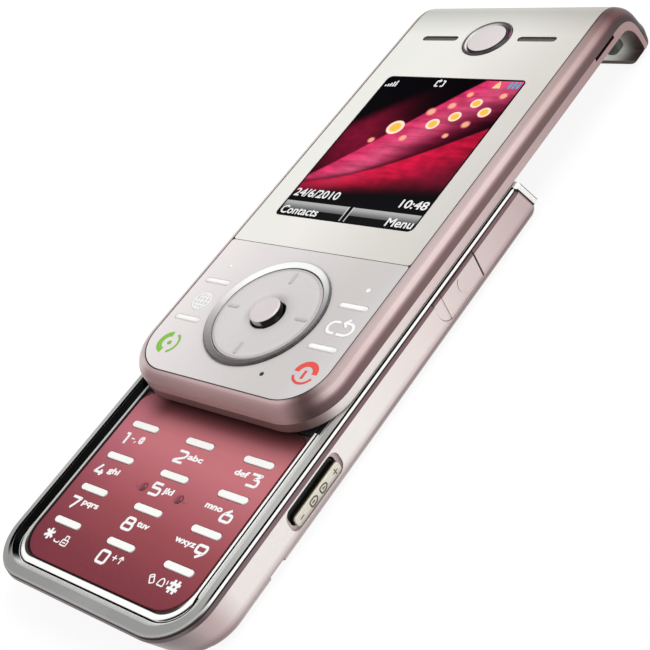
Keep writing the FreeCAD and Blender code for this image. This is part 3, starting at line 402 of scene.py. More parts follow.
# painted shade: a darker rose band on the chamfer under the bright frame, deeper along the rounded back
# edge, and a slow change from head to foot
way = facingOf(tree)
along = ramp(place[1], {-52: (150, 140, 140), -45: (206, 184, 184), -40: (252, 246, 244),
                        -5: (255, 252, 250), 12: (248, 238, 236), 40: (218, 199, 198),
                        50: (202, 180, 180)}, mm)
edge = ramp(place[2], {0: (206, 200, 200), 0.6: (220, 214, 214), 1.3: (178, 168, 170), 1.9: (184, 172, 174),
                       2.5: (228, 218, 220), 3.4: (255, 255, 255)}, mm)
# painted shade: the rounded back edge is deeper from the middle to the head
edge = blendColour(fade(place[1], -20, 5) * fade(place[2], 2.4, 1.9), edge, (150, 134, 136))
tone = tint(along, edge)
# the foot wall is in its own shade
footWallShade = ramp(place[2], {1.0: (128, 106, 110), 4.0: (132, 110, 112), 7.0: (100, 80, 84),
                           8.1: (76, 60, 64)}, mm)
tone = blendColour(way["Foot"], tone, footWallShade)
# painted shade on the chamfer band under the frame, deepest toward the foot
band = fade(place[2], 7.44, 7.56) * fade(place[2], 8.35, 8.25)
band = band * (1.0 - way["Foot"])
tone = blendColour(band, tone, ramp(place[1],
                                    {-46: (70, 50, 52), -40: (84, 60, 63), -32: (106, 74, 80),
                                     -10: (108, 76, 81), 40: (112, 82, 86)}, mm))
# painted shade in the rocker pocket: near black deep inside, pale at its outer rim
pocketShade = (fade(place[0], 25.3, 25.2) * fade(place[0], 20.0, 20.1)
          * fade(abs(place[1] - spots["rockerY"] * mm), 7.6, 7.5) * fade(place[2], 2.4, 2.5)
          * fade(place[2], 7.4, 7.3))
pocketShading = blendColour(fade(place[0], 24.55, 24.45), (214, 196, 196), (26, 21, 19))
tone = blendColour(pocketShade, tone, pocketShading)
put(s["Base Color"], tint(body, tone))

# face plates: satin silver, with painted light and shade: lighter to the left, greyer where the plate bends
# away at the head
silverPaint = dict(colour=(246, 246, 244), fleck=(255, 255, 254), rough=0.45)
silverFace, tree, s, place, body = sprayPaint("silverFace", silverPaint)
lean = place[0] - place[1] * 0.14
across = ramp(lean, {-30: (246, 246, 241), -12: (246, 243, 239), -2: (236, 233, 229), 8: (226, 222, 217),
                     20: (219, 215, 210)}, mm)
headwardShade = ramp(place[1], {84: (255, 255, 255), 88: (236, 237, 235), 92: (211, 213, 211),
                           93.4: (214, 214, 212), 95: (190, 184, 182)}, mm)
# painted shade on the walls of the openings below the face, short of the bend
well = fade(place[2], 14.66, 14.6) * fade(place[1], 86, 85.9)
tone = tint(tint(body, across), headwardShade)
put(s["Base Color"], tint(tone, (96, 90, 88), well))

lilacPaint = dict(colour=(246, 245, 245), fleck=(255, 254, 254), rough=0.45)
lilacFace, tree, s, place, body = sprayPaint("lilacFace", lilacPaint)
# painted light: lighter to the left, greyer to the right; the slot walls by the soft keys painted white
# against their shade
lean = place[0] - place[1] * 0.16
across = ramp(lean, {-23: (246, 239, 239), -17: (238, 233, 232), -9: (232, 227, 227), 1: (222, 218, 217),
                     10: (214, 210, 208), 16: (213, 209, 208), 22: (220, 217, 216)}, mm)
slotWallLight = fade(place[2], 14.69, 14.66) * fade(abs(place[0]), 13.0, 13.1)
put(s["Base Color"], blendColour(slotWallLight, tint(body, across), (255, 252, 252)))

discPaint = dict(colour=(220, 215, 215), fleck=(236, 232, 232), metallic=0.05, rough=0.34, peel=0.004)
discSilver, tree, s, place, body = sprayPaint("discSilver", discPaint)
# painted light: lighter to the left
lean = place[0] - place[1] * 0.3
tone = tint(body, ramp(lean, {-12: (255, 255, 255), 8: (244, 244, 244)}, mm))
side = place[1] - spots["navY"] * mm
reach = distance(side, place[0])
# painted shade: a greyer rim, and a dish that is darker on its far side
tone = tint(tone, (232, 230, 230), fade(reach, 10.1, 10.35))
# painted shade on the ticks, darker on their right and foot sides
part = axes(coords(tree, "Normal"))
shade = part[0] - part[1]
tickShading = ramp(shade, {-0.6: (244, 242, 242), -0.1: (246, 244, 244), 0.15: (226, 224, 224),
                        0.5: (196, 192, 192), 0.8: (190, 186, 186)})
tone = tint(tone, tickShading, fade(place[2], 14.845, 14.86))
# black shadow line round the middle key's hole, to its right and foot
bearing = bearingOf(side, place[0])
quarter = span(bearing, -0.4, -0.34) * span(bearing, 0.34, 0.24)
brim = quarter * (0.1 * mm) + 3.58 * mm
hole = fade(reach - brim, 0, -0.08) * fade(place[0] - side, -2.2, -0.6)
tone = tint(tone, blendColour(quarter, (110, 106, 106), (10, 10, 10)), hole)
hollowShade = fade(reach, 5.2, 3.6) * fade(side - place[0], -1.0, 4.0)
tone = tint(tone, (226, 222, 222), hollowShade)
put(s["Base Color"], tone)

backPaint = dict(colour=(196, 190, 190), bright=(222, 216, 216), metallic=0.7, rough=0.34,
                 stretch=(24.0, 1.0, 24.0), scale=420.0, depth=0.006)
rearSilver = metal("rearSilver", backPaint)[0]

# bright frame: satin lands, and painted reflection and shade: black polished slopes along the sides, a
# white-bright painted highlight on the bead round the keypad
frameTrim = dict(land=(214, 214, 212), midLand=(213, 213, 211), footLand=(164, 165, 162),
                 slope=(222, 222, 220), line=(5, 4, 4), bead=(255, 255, 253), groove=(52, 50, 49),
                 lip=(250, 250, 248))
chrome, tree, s = newMaterial("chrome", 0.5, 0.2, level=0.01)
where = coords(tree)
place = axes(where)
part = axes(coords(tree, "Normal"))
# how far in from the frame's rounded outline
fromRim = 8.85 * mm - roundFoot(place, 16.3, -44.1)
smear = cloudOver(where, 90.0)
# the lands, in painted shade that deepens toward the foot
tone = ramp(place[1], {-49.5: frameTrim["footLand"], -46: (172, 173, 170), -40: (190, 190, 188),
                       -30: frameTrim["midLand"], -20: frameTrim["land"]}, mm)
tone = blendColour(smear * 0.1, tone, (226, 226, 224))
footEnd = fade(place[1], -42.5, -47.0)
# painted highlight on the polished slope down to the bead, and the bead itself painted white-bright, greyer
# at the left and dark along its inner side at the foot
keys = fade(place[1], 40, 39)
sloped = fade(fromRim, 1.8, 1.9) * span(part[2], 0.99, 0.93) * keys
edgeLight = fade(fromRim, 2.0, 2.1) * fade(place[1], -50.0, -50.3) * 0.6
valley = fade(fromRim, 2.5, 2.6) * fade(place[2], 8.24, 8.18) * keys * span(footEnd, 0.0, 1.0, 0.3, 1.0)
pale = most(sloped * 0.9, edgeLight, valley)
tone = blendColour(pale, tone, frameTrim["slope"])
lineIn = fromRim + footEnd * (0.3 * mm)
bead = fade(lineIn, 3.22, 3.26) * fade(place[2], 8.46, 8.42)
beadPaintedLight = blendColour(fade(place[0], -19, -21), frameTrim["bead"], (196, 198, 195))
beadPaintedLight = blendColour(fade(fromRim, 4.22, 4.32) * footEnd, beadPaintedLight, (66, 58, 56))
tone = blendColour(bead, tone, beadPaintedLight)
# outer lip: a painted highlight, white along the sides; at the foot a painted lighter edge over a wall in
# painted shade
lip = fade(fromRim, 0.36, 0.28)
lipPaintedLight = blendColour(footEnd, frameTrim["lip"],
                      blendColour(fade(place[2], 8.66, 8.58), (180, 176, 176), (84, 76, 78)))
tone = blendColour(lip, tone, lipPaintedLight)
# painted black lines of reflection and shade: round the bead, along the land's outer edge at the sides, and
# a painted shadow line under the lip
beadLine = fade(lineIn, 3.29, 3.34) * fade(lineIn, 3.6, 3.52) * bead
landLine = fade(fromRim, 0.26, 0.32) * fade(fromRim, 0.74, 0.68) * (1.0 - footEnd) * fade(place[0], 5, 10)
underLine = fade(place[2], 8.46, 8.4) * lip
# both stop at the leaning head cap, which has a painted shadow line at its join and its own corner
lean = place[1] - (8.1 * mm - place[2]) * 0.4
landLine = landLine * fade(lean, 48.9, 48.6)
underLine = most(underLine * fade(lean, 48.8, 48.65),
                 span(part[1], 0.4, 0.55) * fade(lean, 44, 45) * span(part[2], 0.6, 0.4))
# the left slope stays in shade, and so does a strip of the land beside it
leftStrip = fade(fromRim, 1.22, 1.3) * fade(fromRim, 1.95, 1.85) * fade(place[0], -20.0, -22.5)
leftSlope = most(sloped * span(part[0], 0.15, 0.4), leftStrip * keys)
leftSlope = leftSlope * (1.0 - bead)
dark = most(beadLine, landLine, leftSlope)
tone = blendColour(dark, tone, frameTrim["line"])
tone = blendColour(underLine, tone, (52, 42, 44))
# painted shade in the groove next to the sheet
inner = fade(fromRim, 3.3, 3.4) * fade(place[2], 8.34, 8.24)
tone = blendColour(inner, tone, frameTrim["groove"])
put(s["Base Color"], tone)
dull = most(dark, bead, lip, sloped)
put(s["Metallic"], between(dull, 0.5, 0.0))
put(s["Roughness"], between(dark, 0.26, 0.2))

ringTrim = dict(colour=(222, 221, 220), bright=(240, 239, 238), rough=0.1, stretch=(1.0, 6.0, 6.0),
                scale=300.0, depth=0.0006)
ringChrome = metal("ringChrome", ringTrim)[0]
gauze = dict(wire=(120, 118, 114), hole=(26, 24, 24), rough=0.4)
meshGrey, tree, s = newMaterial("meshGrey", 0.2, gauze["rough"])
weave = bricks(coords(tree), 1500.0, 0.16)
put(s["Base Color"], blendColour(weave, gauze["hole"], gauze["wire"]))
put(s["Normal"], bumpFrom(weave, 0.02 * mm, 0.6))
springTrim = dict(colour=(168, 168, 166), bright=(204, 204, 200), rough=0.3, stretch=(1.0, 20.0, 20.0),
                  scale=400.0, depth=0.004)
springSteel = metal("springSteel", springTrim)[0]
contactTrim = dict(colour=(196, 150, 74), bright=(226, 186, 104), rough=0.28, stretch=(20.0, 1.0, 20.0),
                   scale=400.0, depth=0.003)
brassContact = metal("brassContact", contactTrim)[0]

blackPart = mouldedPlastic("blackPart", dict(colour=(20, 20, 22), light=(40, 39, 40), rough=0.5,
                                             grain=2600.0))
darkRubber = mouldedPlastic("darkRubber", dict(colour=(92, 97, 90), light=(118, 122, 114), rough=0.7,
                                               grain=1800.0, level=0.3))

# red sheet of the keypad: lighter and pinker at the head, wine red at the foot
sheetInk = dict(fleck=(214, 120, 132), rough=0.4)
redSheet, tree, s = newMaterial("redSheet", 0.0, sheetInk["rough"], level=0.12)
where = coords(tree)
place = axes(where)
lean = place[1] + 0.8 * mm + place[0] * 0.1
ink = ramp(lean, {-49: (122, 46, 58), -45.5: (123, 49, 59), -42.5: (129, 55, 64), -39: (143, 64, 73),
                  -35: (151, 73, 79), -31.5: (167, 83, 92), -28: (176, 96, 103), -24.5: (190, 107, 116),
                  -21.5: (199, 116, 123), -12: (199, 119, 125)}, mm)
# cooler and a little deeper down the left side
ink = tint(ink, ramp(place[0], {-21: (240, 236, 250), -17: (245, 243, 252), -11: (255, 255, 255)}, mm))
# painted shadow where the upper half overhangs it, less so at the left
hush = ramp(place[1], {-19: (255, 255, 255), -17.3: (236, 236, 236), -16: (206, 206, 206),
                       -15: (168, 160, 160), -14.2: (140, 124, 126), -13: (96, 84, 84),
                       -12: (70, 60, 60)}, mm)
ink = tint(ink, hush, fade(place[0], -19, -13, 0.15, 1.0))
# painted shadow line where the sheet meets the frame
margin = 5.7 * mm - roundFoot(place, 15.2, -42.6)
margin = margin - fade(place[0], 12, 20, 0.0, 0.4 * mm)
ink = blendColour(fade(margin, 0.2, 0.12), ink, (56, 14, 20))
grain = useGroup(paintGrain, Vector=where, Scale=14000.0, Contrast=0.08)
put(s["Base Color"], blendColour(grain["Fleck"], ink, sheetInk["fleck"]))
put(s["Roughness"], between(cloudOver(where, 80.0), 0.36, 0.46))
put(s["Normal"], bumpFrom(grain["Height"], 0.006 * mm, 0.3))

# white key bars: milky plastic, with painted light: a little brighter along the middle, where they face up
barPlastic = dict(edge=(236, 236, 232), middle=(255, 255, 252), rough=0.24, coat=0.4)
milkyBar, tree, s = newMaterial("milkyBar", 0.0, barPlastic["rough"], barPlastic["coat"], 0.08)
upright = axes(coords(tree, "Normal"))[2]
milk = noise(coords(tree), 900.0, 2.0)
put(s["Base Color"], blendColour(span(upright, 0.55, 0.98), barPlastic["edge"], barPlastic["middle"]))
put(s["Roughness"], span(milk, 0.3, 0.7, 0.2, 0.3, False))

# soft keys: a painted highlight, white at the crest and dimmer on the left keys; the plate's own colour
# where they meet it
pillow = dict(edge=(240, 235, 235), crest=(255, 255, 255), shadedCrest=(255, 253, 253), low=14.78, high=14.87,
              rough=0.42)
pillowKey, tree, s = newMaterial("pillowKey", 0.0, pillow["rough"], level=0.3)
where = coords(tree)
place = axes(where)
height = fade(place[2], pillow["low"], pillow["high"])
tail = fade(abs(abs(place[0]) - 17 * mm), 3.15, 1.9)
crest = blendColour(fade(place[0], -1, 1), pillow["shadedCrest"], pillow["crest"])
grain = useGroup(paintGrain, Vector=where, Scale=12000.0, Contrast=0.2)
put(s["Base Color"], blendColour(height * tail, pillow["edge"], crest))
put(s["Normal"], bumpFrom(grain["Height"], 0.004 * mm, 0.3))

# circuit boards: green mask, paler tracks
boardInk = dict(mask=(24, 84, 60), track=(52, 124, 84), rough=0.38)
boardGreen, tree, s = newMaterial("boardGreen", 0.0, boardInk["rough"], 0.2)
tracks = bricks(coords(tree), 520.0, 0.09)
put(s["Base Color"], blendColour(tracks, boardInk["mask"], boardInk["track"]))
put(s["Normal"], bumpFrom(tracks, 0.02 * mm, 0.4))

# battery sleeve: dark grey film with a paler printed stripe
sleeve = dict(film=(58, 62, 70), stripe=(150, 156, 164), rough=0.42)
cellWrap, tree, s = newMaterial("cellWrap", 0.0, sleeve["rough"], 0.3, 0.15)
where = coords(tree)
place = axes(where)
creases = noise(where, 220.0, 3.0)
stripe = fade(place[1], 26.0, 26.1) * fade(place[1], 28.1, 28.0)
put(s["Base Color"], blendColour(stripe, sleeve["film"], sleeve["stripe"]))
put(s["Roughness"], span(creases, 0.3, 0.7, 0.36, 0.5, False))
put(s["Normal"], bumpFrom(creases, 0.03 * mm, 0.4))


def printInk(name, colour, worn):
    # pad-printed ink, slightly uneven
    m, tree, s = newMaterial(name, 0.0, 0.4)
    grain = noise(coords(tree), 3200.0, 2.0)
    put(s["Base Color"], blendColour(span(grain, 0.35, 0.75), colour, worn))
    return m


whiteInk = printInk("whiteInk", (255, 255, 255), (250, 248, 248))
greenInk = printInk("greenInk", (138, 204, 62), (120, 186, 60))
redInk = printInk("redInk", (244, 84, 72), (228, 74, 66))
plumPaint = dict(colour=(236, 226, 230), fleck=(255, 250, 252), rough=0.3, coat=0.2, coatRough=0.08,
                 grain=9000.0, sparkle=0.3, peel=0.004)
plumDome, tree, s, place, body = sprayPaint("plumDome", plumPaint)
# painted light and shade on the touch dots: pink where they face left and to the head, deep plum on their
# right and foot sides
part = axes(coords(tree, "Normal"))
lean = part[0] * 0.8 - part[1] * 0.5
put(s["Base Color"], tint(body, ramp(lean, {-0.7: (222, 128, 146), -0.25: (204, 100, 120),
                                            0.1: (138, 44, 66), 0.45: (92, 22, 42), 0.8: (120, 44, 62)})))
print("finishes made")

# CAD nodes keep their shape and take a finish
nodeFinishes = [
    (paleHousing, "base_housing port_flap"),
    (paleShell, "slide_rear_shell"),
    (roseShell, "slide_front_shell"),
    (rearSilver, "rear_cover"),
    (chrome, "bezel_frame"),
    (ringChrome, "camera_ring"),
    (redSheet, "keypad_sheet"),
    (silverFace, "display_plate"),
    (lilacFace, "keypad_plate"),
    (darkRubber, "window_gasket"),
    (springSteel, "keypad_domes nav_domes rail_plate card_holder vibration_motor side_socket base_screws "
                  "slide_screws carriage_plate"),
    (meshGrey, "earpiece_mesh"),
    (boardGreen, "main_board slide_board"),
    (cellWrap, "battery"),
    (brassContact, "battery_contacts"),
    (blackPart, "chassis_frame deck_plate loudspeaker antenna_carrier rocker_switches display_module "
                "microphone earpiece_speaker nav_core"),
    (milkyBar, " ".join(name for name in nodes if name.startswith("key_"))),
]
for material, names in nodeFinishes:
    for name in names.split():
        mesh = nodes[name].data
        mesh.materials.clear()
        mesh.materials.append(material)
print("frame nodes finished")


# pieces are drawn in millimetres, then scaled to metres
def finishPiece(name, bm, body, material, replaced=(), flip=False):
    if flip:
        bmesh.ops.recalc_face_normals(bm, faces=bm.faces)
    bmesh.ops.scale(bm, vec=(mm, mm, mm), verts=bm.verts)
    for f in bm.faces:
        f.smooth = True
    mesh = bpy.data.meshes.new(name)
    bm.to_mesh(mesh)
    bm.free()
    mesh.materials.append(material)
    piece = bpy.data.objects.new(name, mesh)
    scene.collection.objects.link(piece)
    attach(piece, body)
    if replaced:
        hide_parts(*replaced)
    return piece


def spinProfile(bm, profile, centre, steps, axis, across, weld):
    # profile points are (radius, height); spun round an axis through the centre
    start = len(bm.verts)
    verts = [bm.verts.new(Vector(centre) + across * r + Vector(axis) * z) for r, z in profile]
    edges = [bm.edges.new(pair) for pair in zip(verts, verts[1:])]
    bmesh.ops.spin(bm, geom=verts + edges, cent=centre, axis=axis, dvec=(0, 0, 0), angle=math.tau,
                   steps=steps, use_merge=True, use_duplicate=False)
    bm.verts.ensure_lookup_table()
    bmesh.ops.remove_doubles(bm, verts=bm.verts[start:], dist=weld)
    bm.verts.ensure_lookup_table()
    return bm.verts[start:]


def spunShell(bm, profile, centre, steps=96, axis=(0, 0, 1)):
    across = Vector((1, 0, 0)) if abs(axis[0]) < 0.5 else Vector((0, 1, 0))
    spinProfile(bm, profile, centre, steps, axis, across, 0.0005)


def pillShell(bm, profile, centre, stretch, steps=40, axis=(0, 0, 1), along=(1, 0, 0)):
    # a round spun shape, cut in two halves that move apart by the stretch
    up = Vector(axis)
    across = Matrix.Rotation(math.pi / steps, 3, up) @ Vector(along)
    fresh = spinProfile(bm, profile, centre, steps, axis, across, 0.0002)
    line = Vector(along)
    for sign in (-1, 1):
        side = [v for v in fresh if sign * (v.co - Vector(centre)).dot(line) > 0]
        bmesh.ops.translate(bm, vec=line * sign * stretch, verts=side)
    for r, z in (profile[0], profile[-1]):
        level = {v for v in fresh if abs((v.co - Vector(centre)).dot(up) - z) < 0.0001}
        rim = [e for e in bm.edges if e.is_boundary and level.issuperset(e.verts)]
        if rim:
            bmesh.ops.contextual_create(bm, geom=rim)
    return bm


def roundedSlab(bm, width, length, corner, z0, z1, centre=(0, 0), soft=0.1):
    made = bmesh.ops.create_grid(bm, x_segments=1, y_segments=1, size=0.5)
    bmesh.ops.scale(bm, vec=(width, length, 1), verts=made["verts"])
    bmesh.ops.translate(bm, vec=(centre[0], centre[1], z0), verts=made["verts"])
    bmesh.ops.bevel(bm, geom=made["verts"], offset=corner, affect="VERTICES", segments=6, profile=0.5,
                    material=-1)
    grown = bmesh.ops.extrude_face_region(bm, geom=bm.faces[:])
    top = [g for g in grown["geom"] if isinstance(g, bmesh.types.BMVert)]
    bmesh.ops.translate(bm, vec=(0, 0, z1 - z0), verts=top)
    rim = [e for e in bm.edges if e.verts[0] in top and e.verts[1] in top]
    bmesh.ops.recalc_face_normals(bm, faces=bm.faces)
    bmesh.ops.bevel(bm, geom=rim, offset=soft, affect="EDGES", segments=3, profile=0.5, material=-1)
    return bm


def dropIn(bm, mesh, place):
    start = len(bm.verts)
    bm.from_mesh(mesh)
    bm.verts.ensure_lookup_table()
    bmesh.ops.transform(bm, matrix=place, verts=bm.verts[start:])
    bpy.data.meshes.remove(mesh)


def roundedLine(points, closed, radius):
    # corners become short curves; a third number on a point is its own radius
    out = []
    for i, point in enumerate(points):
        here = Vector(point[:2])
        if not closed and i in (0, len(points) - 1):
            out.append(tuple(here))
            continue
        before = Vector(points[i - 1][:2]) - here
        after = Vector(points[(i + 1) % len(points)][:2]) - here
        reach = min(point[2] if len(point) > 2 else radius, before.length * 0.49, after.length * 0.49)
        a, b = here + before.normalized() * reach, here + after.normalized() * reach
        for step in range(6 if reach > 0.01 else 1):
            t = step / 5 if reach > 0.01 else 0.5
            out.append(tuple(a * (1 - t) ** 2 + here * 2 * t * (1 - t) + b * t * t))
    return out


def strokes(bm, lines, width, thick, place, radius=0.0, sides=1):
    # ink strokes: each line is (points, closed); drawn as a round cord, then pressed flat;
    # each lies a hair over the last
    for i, (points, closed) in enumerate(lines):
        pen = bpy.data.curves.new("pen", "CURVE")
        pen.dimensions = "3D"
        pen.bevel_depth = width / 2
        pen.bevel_resolution = sides
        pen.use_fill_caps = True
        bent = roundedLine(points, closed, radius)
        path = pen.splines.new("POLY")
        path.points.add(len(bent) - 1)
        for p, (x, y) in zip(path.points, bent):
            p.co = (x, y, 0, 1)
        path.use_cyclic_u = closed
        holder = bpy.data.objects.new("pen", pen)
        mesh = bpy.data.meshes.new_from_object(holder)
        bpy.data.objects.remove(holder)
        bpy.data.curves.remove(pen)
        mesh.transform(Matrix.Translation((0, 0, 0.004 * i)) @ Matrix.Diagonal((1, 1, thick / width, 1)))
        dropIn(bm, mesh, place)


def lettering(bm, text, size, thick, x0, x1, y, z, bold):
    # built-in type, set between x0 and x1 on the base line y
    t = bpy.data.curves.new("type", "FONT")
    t.body = text
    t.size = size
    t.extrude = thick / 2
    t.offset = bold
    t.resolution_u = 3
    holder = bpy.data.objects.new("type", t)
    mesh = bpy.data.meshes.new_from_object(holder)
    bpy.data.objects.remove(holder)
    bpy.data.curves.remove(t)
    xs = [v.co.x for v in mesh.vertices]
    wide = (x1 - x0) / (max(xs) - min(xs))
    place = Matrix.Translation((x0 - min(xs) * wide, y, z + thick / 2))
    dropIn(bm, mesh, place @ Matrix.Diagonal((wide, 1, 1, 1)))


# keypad legends: square strokes with round corners, drawn in a box one wide and one high
legend = dict(wide=2.2, high=2.25, pen=0.6, corner=0.5, thick=0.05, z=8.1)
numerals = {"0": [([(0.03, 1), (0.97, 1), (0.97, 0), (0.03, 0)], True)],
            "1": [([(0, 0.98), (0.33, 0.98, 0.1), (0.33, 0)], False)],
            "2": [([(0, 1), (1, 1), (1, 0.56), (0, 0.12, 0.2), (0, 0, 0.05), (1, 0)], False)],
            "3": [([(0, 1), (1, 1, 0.1), (0.46, 0.58, 0.1), (1, 0.58), (1, 0), (0, 0)], False)],
            "4": [([(0.5, 1), (0, 0.26, 0.15), (1, 0.26)], False), ([(0.74, 0.54), (0.74, 0)], False)],
            "5": [([(0.95, 1), (0.08, 1, 0.1), (0.04, 0.58, 0.1), (1, 0.58), (1, 0), (0, 0)], False)],
            "6": [([(0.66, 1), (0.2, 0.66, 0.3), (0.02, 0.42, 0.3), (0.02, 0), (1, 0), (1, 0.6),
                    (0.2, 0.6)], False)],
            "7": [([(0, 1), (1, 1, 0.1), (0.42, 0)], False)],
            "8": [([(0.08, 1), (0.92, 1), (0.92, 0.54, 0.3), (0.08, 0.54, 0.3)], True),
                  ([(0, 0.54), (1, 0.54), (1, 0), (0, 0)], True)],
            "9": [([(0.34, 0), (0.8, 0.34, 0.3), (0.98, 0.58, 0.3), (0.98, 1), (0, 1), (0, 0.4),
                    (0.8, 0.4)], False)],
            "*": [([(0.5, 1), (0.5, 0)], False), ([(0.03, 0.76), (0.97, 0.24)], False),
                  ([(0.03, 0.24), (0.97, 0.76)], False)],
            "#": [([(0.34, 1.04), (0.26, -0.04)], False), ([(0.78, 1.04), (0.7, -0.04)], False),
                  ([(0, 0.7), (1.05, 0.7)], False), ([(-0.03, 0.28), (1.02, 0.28)], False)]}
legendPlaces = {"1": (-17.55, -23.2), "2": (-3.05, -23.3), "3": (15.0, -23.25), "4": (-18.15, -30.5),
                "5": (-2.95, -30.4), "6": (14.95, -30.6), "7": (-18.0, -37.9), "8": (-2.95, -37.85),
                "9": (14.9, -37.85), "*": (-17.75, -44.65), "0": (-2.9, -44.75), "#": (14.9, -44.7)}
bm = bmesh.new()
for mark, (x, y) in legendPlaces.items():
    wide, high = legend["wide"], legend["high"]
    drawn = [([(p[0] * wide, p[1] * high) + tuple(p[2:]) for p in points], closed)
             for points, closed in numerals[mark]]
    strokes(bm, drawn, legend["pen"], legend["thick"], Matrix.Translation((x, y, legend["z"])),
            legend["corner"])
letterSets = [("abc", -0.36, 3.27, -22.2), ("def", 11.2, 14.4, -22.1), ("ghi", -15.1, -12.2, -29.36),
              ("jkl", -0.05, 2.36, -29.5), ("mno", 10.4, 14.4, -29.27), ("pqrs", -14.95, -10.8, -36.5),
              ("tuv", -0.05, 2.9, -36.6), ("wxyz", 9.5, 14.4, -36.5), ("@", -13.7, -12.35, -22.0)]
for text, x0, x1, y in letterSets:
    lettering(bm, text, 1.6, 0.03, x0, x1, y, legend["z"], bold=0.06)
print("numerals and letters set")
# small symbols: dash and comma by 1, smile and lock by *, plus and arrow by 0, handset and bell by #
symbols = dict(pen=0.28, thick=0.03)
strokes(bm, [([(-15.75, -21.75), (-14.9, -21.75)], False), ([(-14.3, -22.1), (-14.5, -22.5)], False),
             ([(-14.7, -44.1), (-14.45, -44.5), (-13.5, -44.5), (-13.25, -44.1)], False),
             ([(-12.75, -43.6), (-11.25, -43.6), (-11.25, -44.65), (-12.75, -44.65)], True),
             ([(-12.4, -43.6), (-12.4, -42.8), (-11.6, -42.8), (-11.6, -43.6)], False),
             ([(-12.4, -44.15), (-11.6, -44.15)], False), ([(0.25, -43.05), (1.35, -43.05)], False),
             ([(0.8, -42.5), (0.8, -43.6)], False), ([(2.36, -43.8), (2.36, -42.4)], False),
             ([(1.85, -42.95), (2.36, -42.35), (2.87, -42.95)], False),
             ([(10.1, -43.3), (10.9, -42.9), (11.8, -44.2), (11.0, -44.6)], True),
             ([(10.5, -43.6), (11.2, -43.2)], False),
             ([(12.5, -44.3), (12.7, -43.3), (13.2, -42.9), (13.7, -43.3), (13.9, -44.3)], True),
             ([(14.3, -43.0), (14.45, -43.7)], False)], symbols["pen"], symbols["thick"],
        Matrix.Translation((0, 0, legend["z"])), 0.2)
finishPiece("keypad_legends", bm, "base", whiteInk)
print("keypad legends made")

# touch dots beside the middle key
touchDot = dict(x=(-4.85, 4.35), y=-29.6, radius=0.95, rise=0.35)
bm = bmesh.new()
for x in touchDot["x"]:
    r, h = touchDot["radius"], touchDot["rise"]
    spunShell(bm, [(r, -0.03), (r * 0.98, h * 0.25), (r * 0.85, h * 0.62), (r * 0.6, h * 0.88),
                   (r * 0.3, h * 0.98), (0, h)], (x, touchDot["y"], 8.1), steps=28)
finishPiece("touch_dots", bm, "base", plumDome, flip=True)

# slender soft keys: pillows that fill their slots
softKey = dict(halfLine=2.65, radius=0.56, low=13.6, crest=14.9, face=14.7)
softPlaces = {"soft_key_left": (-17, 10.95), "web_key": (-17, 1.45), "soft_key_right": (17, 10.95),
              "clear_key": (17, 1.45)}
for name, (x, y) in softPlaces.items():
    bm = bmesh.new()
    r, top = softKey["radius"], softKey["crest"]
    face = softKey["face"]
    rise = top - face
    pillShell(bm, [(r * 1.3, softKey["low"]), (r * 1.3, softKey["low"] + 0.16), (r, softKey["low"] + 0.16),
                   (r, face - 0.03), (r * 0.97, face + 0.02), (r * 0.85, face + rise * 0.35),
                   (r * 0.65, face + rise * 0.68), (r * 0.4, face + rise * 0.9), (r * 0.12, top)],
              (x, y, 0), softKey["halfLine"], steps=36)
    finishPiece(name + "_pillow", bm, name, pillowKey, [name], flip=True)
print("soft keys made")

def polishedRing(name, v, centreY):
    # gives the bearing round the centre, the distance from it and faint lathe streaks
    m, tree, s = newMaterial(name, 0.0, v["rough"], v["coat"], v["coatRough"], 0.3)
    where = coords(tree)
    across, side = axes(where)[:2]
    side = side - centreY * mm
    lines = useGroup(brushLines, Vector=where, Stretch=(1.0, 6.0, 6.0), Scale=300.0)
    put(s["Normal"], bumpFrom(lines["Height"], 0.0006 * mm, 0.3))
    return m, s, bearingOf(side, across), distance(side, across), lines["Line"] * 0.05


# navigation ring: a bright collar that slopes in to the disc
collar = dict(outer=12.5, inner=10.95, foot=14.14, face=14.72, crest=15.2, y=spots["navY"])
bm = bmesh.new()
c = collar
spunShell(bm, [(c["inner"], c["foot"]), (c["outer"] - 0.4, c["foot"]), (c["outer"] - 0.4, c["face"]),
               (c["outer"], c["face"]), (c["outer"], c["face"] + 0.26),
               (c["outer"] - 0.05, c["crest"] - 0.09), (c["outer"] - 0.14, c["crest"] - 0.02),
               (c["outer"] - 0.26, c["crest"]), (c["outer"] - 0.38, c["crest"] - 0.04),
               (c["inner"] + 0.7, c["face"] + 0.26), (c["inner"] + 0.2, c["face"] + 0.1),
               (c["inner"] + 0.06, c["face"] + 0.06), (c["inner"], c["face"] - 0.02),
               (c["inner"], c["foot"])], (0, c["y"], 0), steps=160)
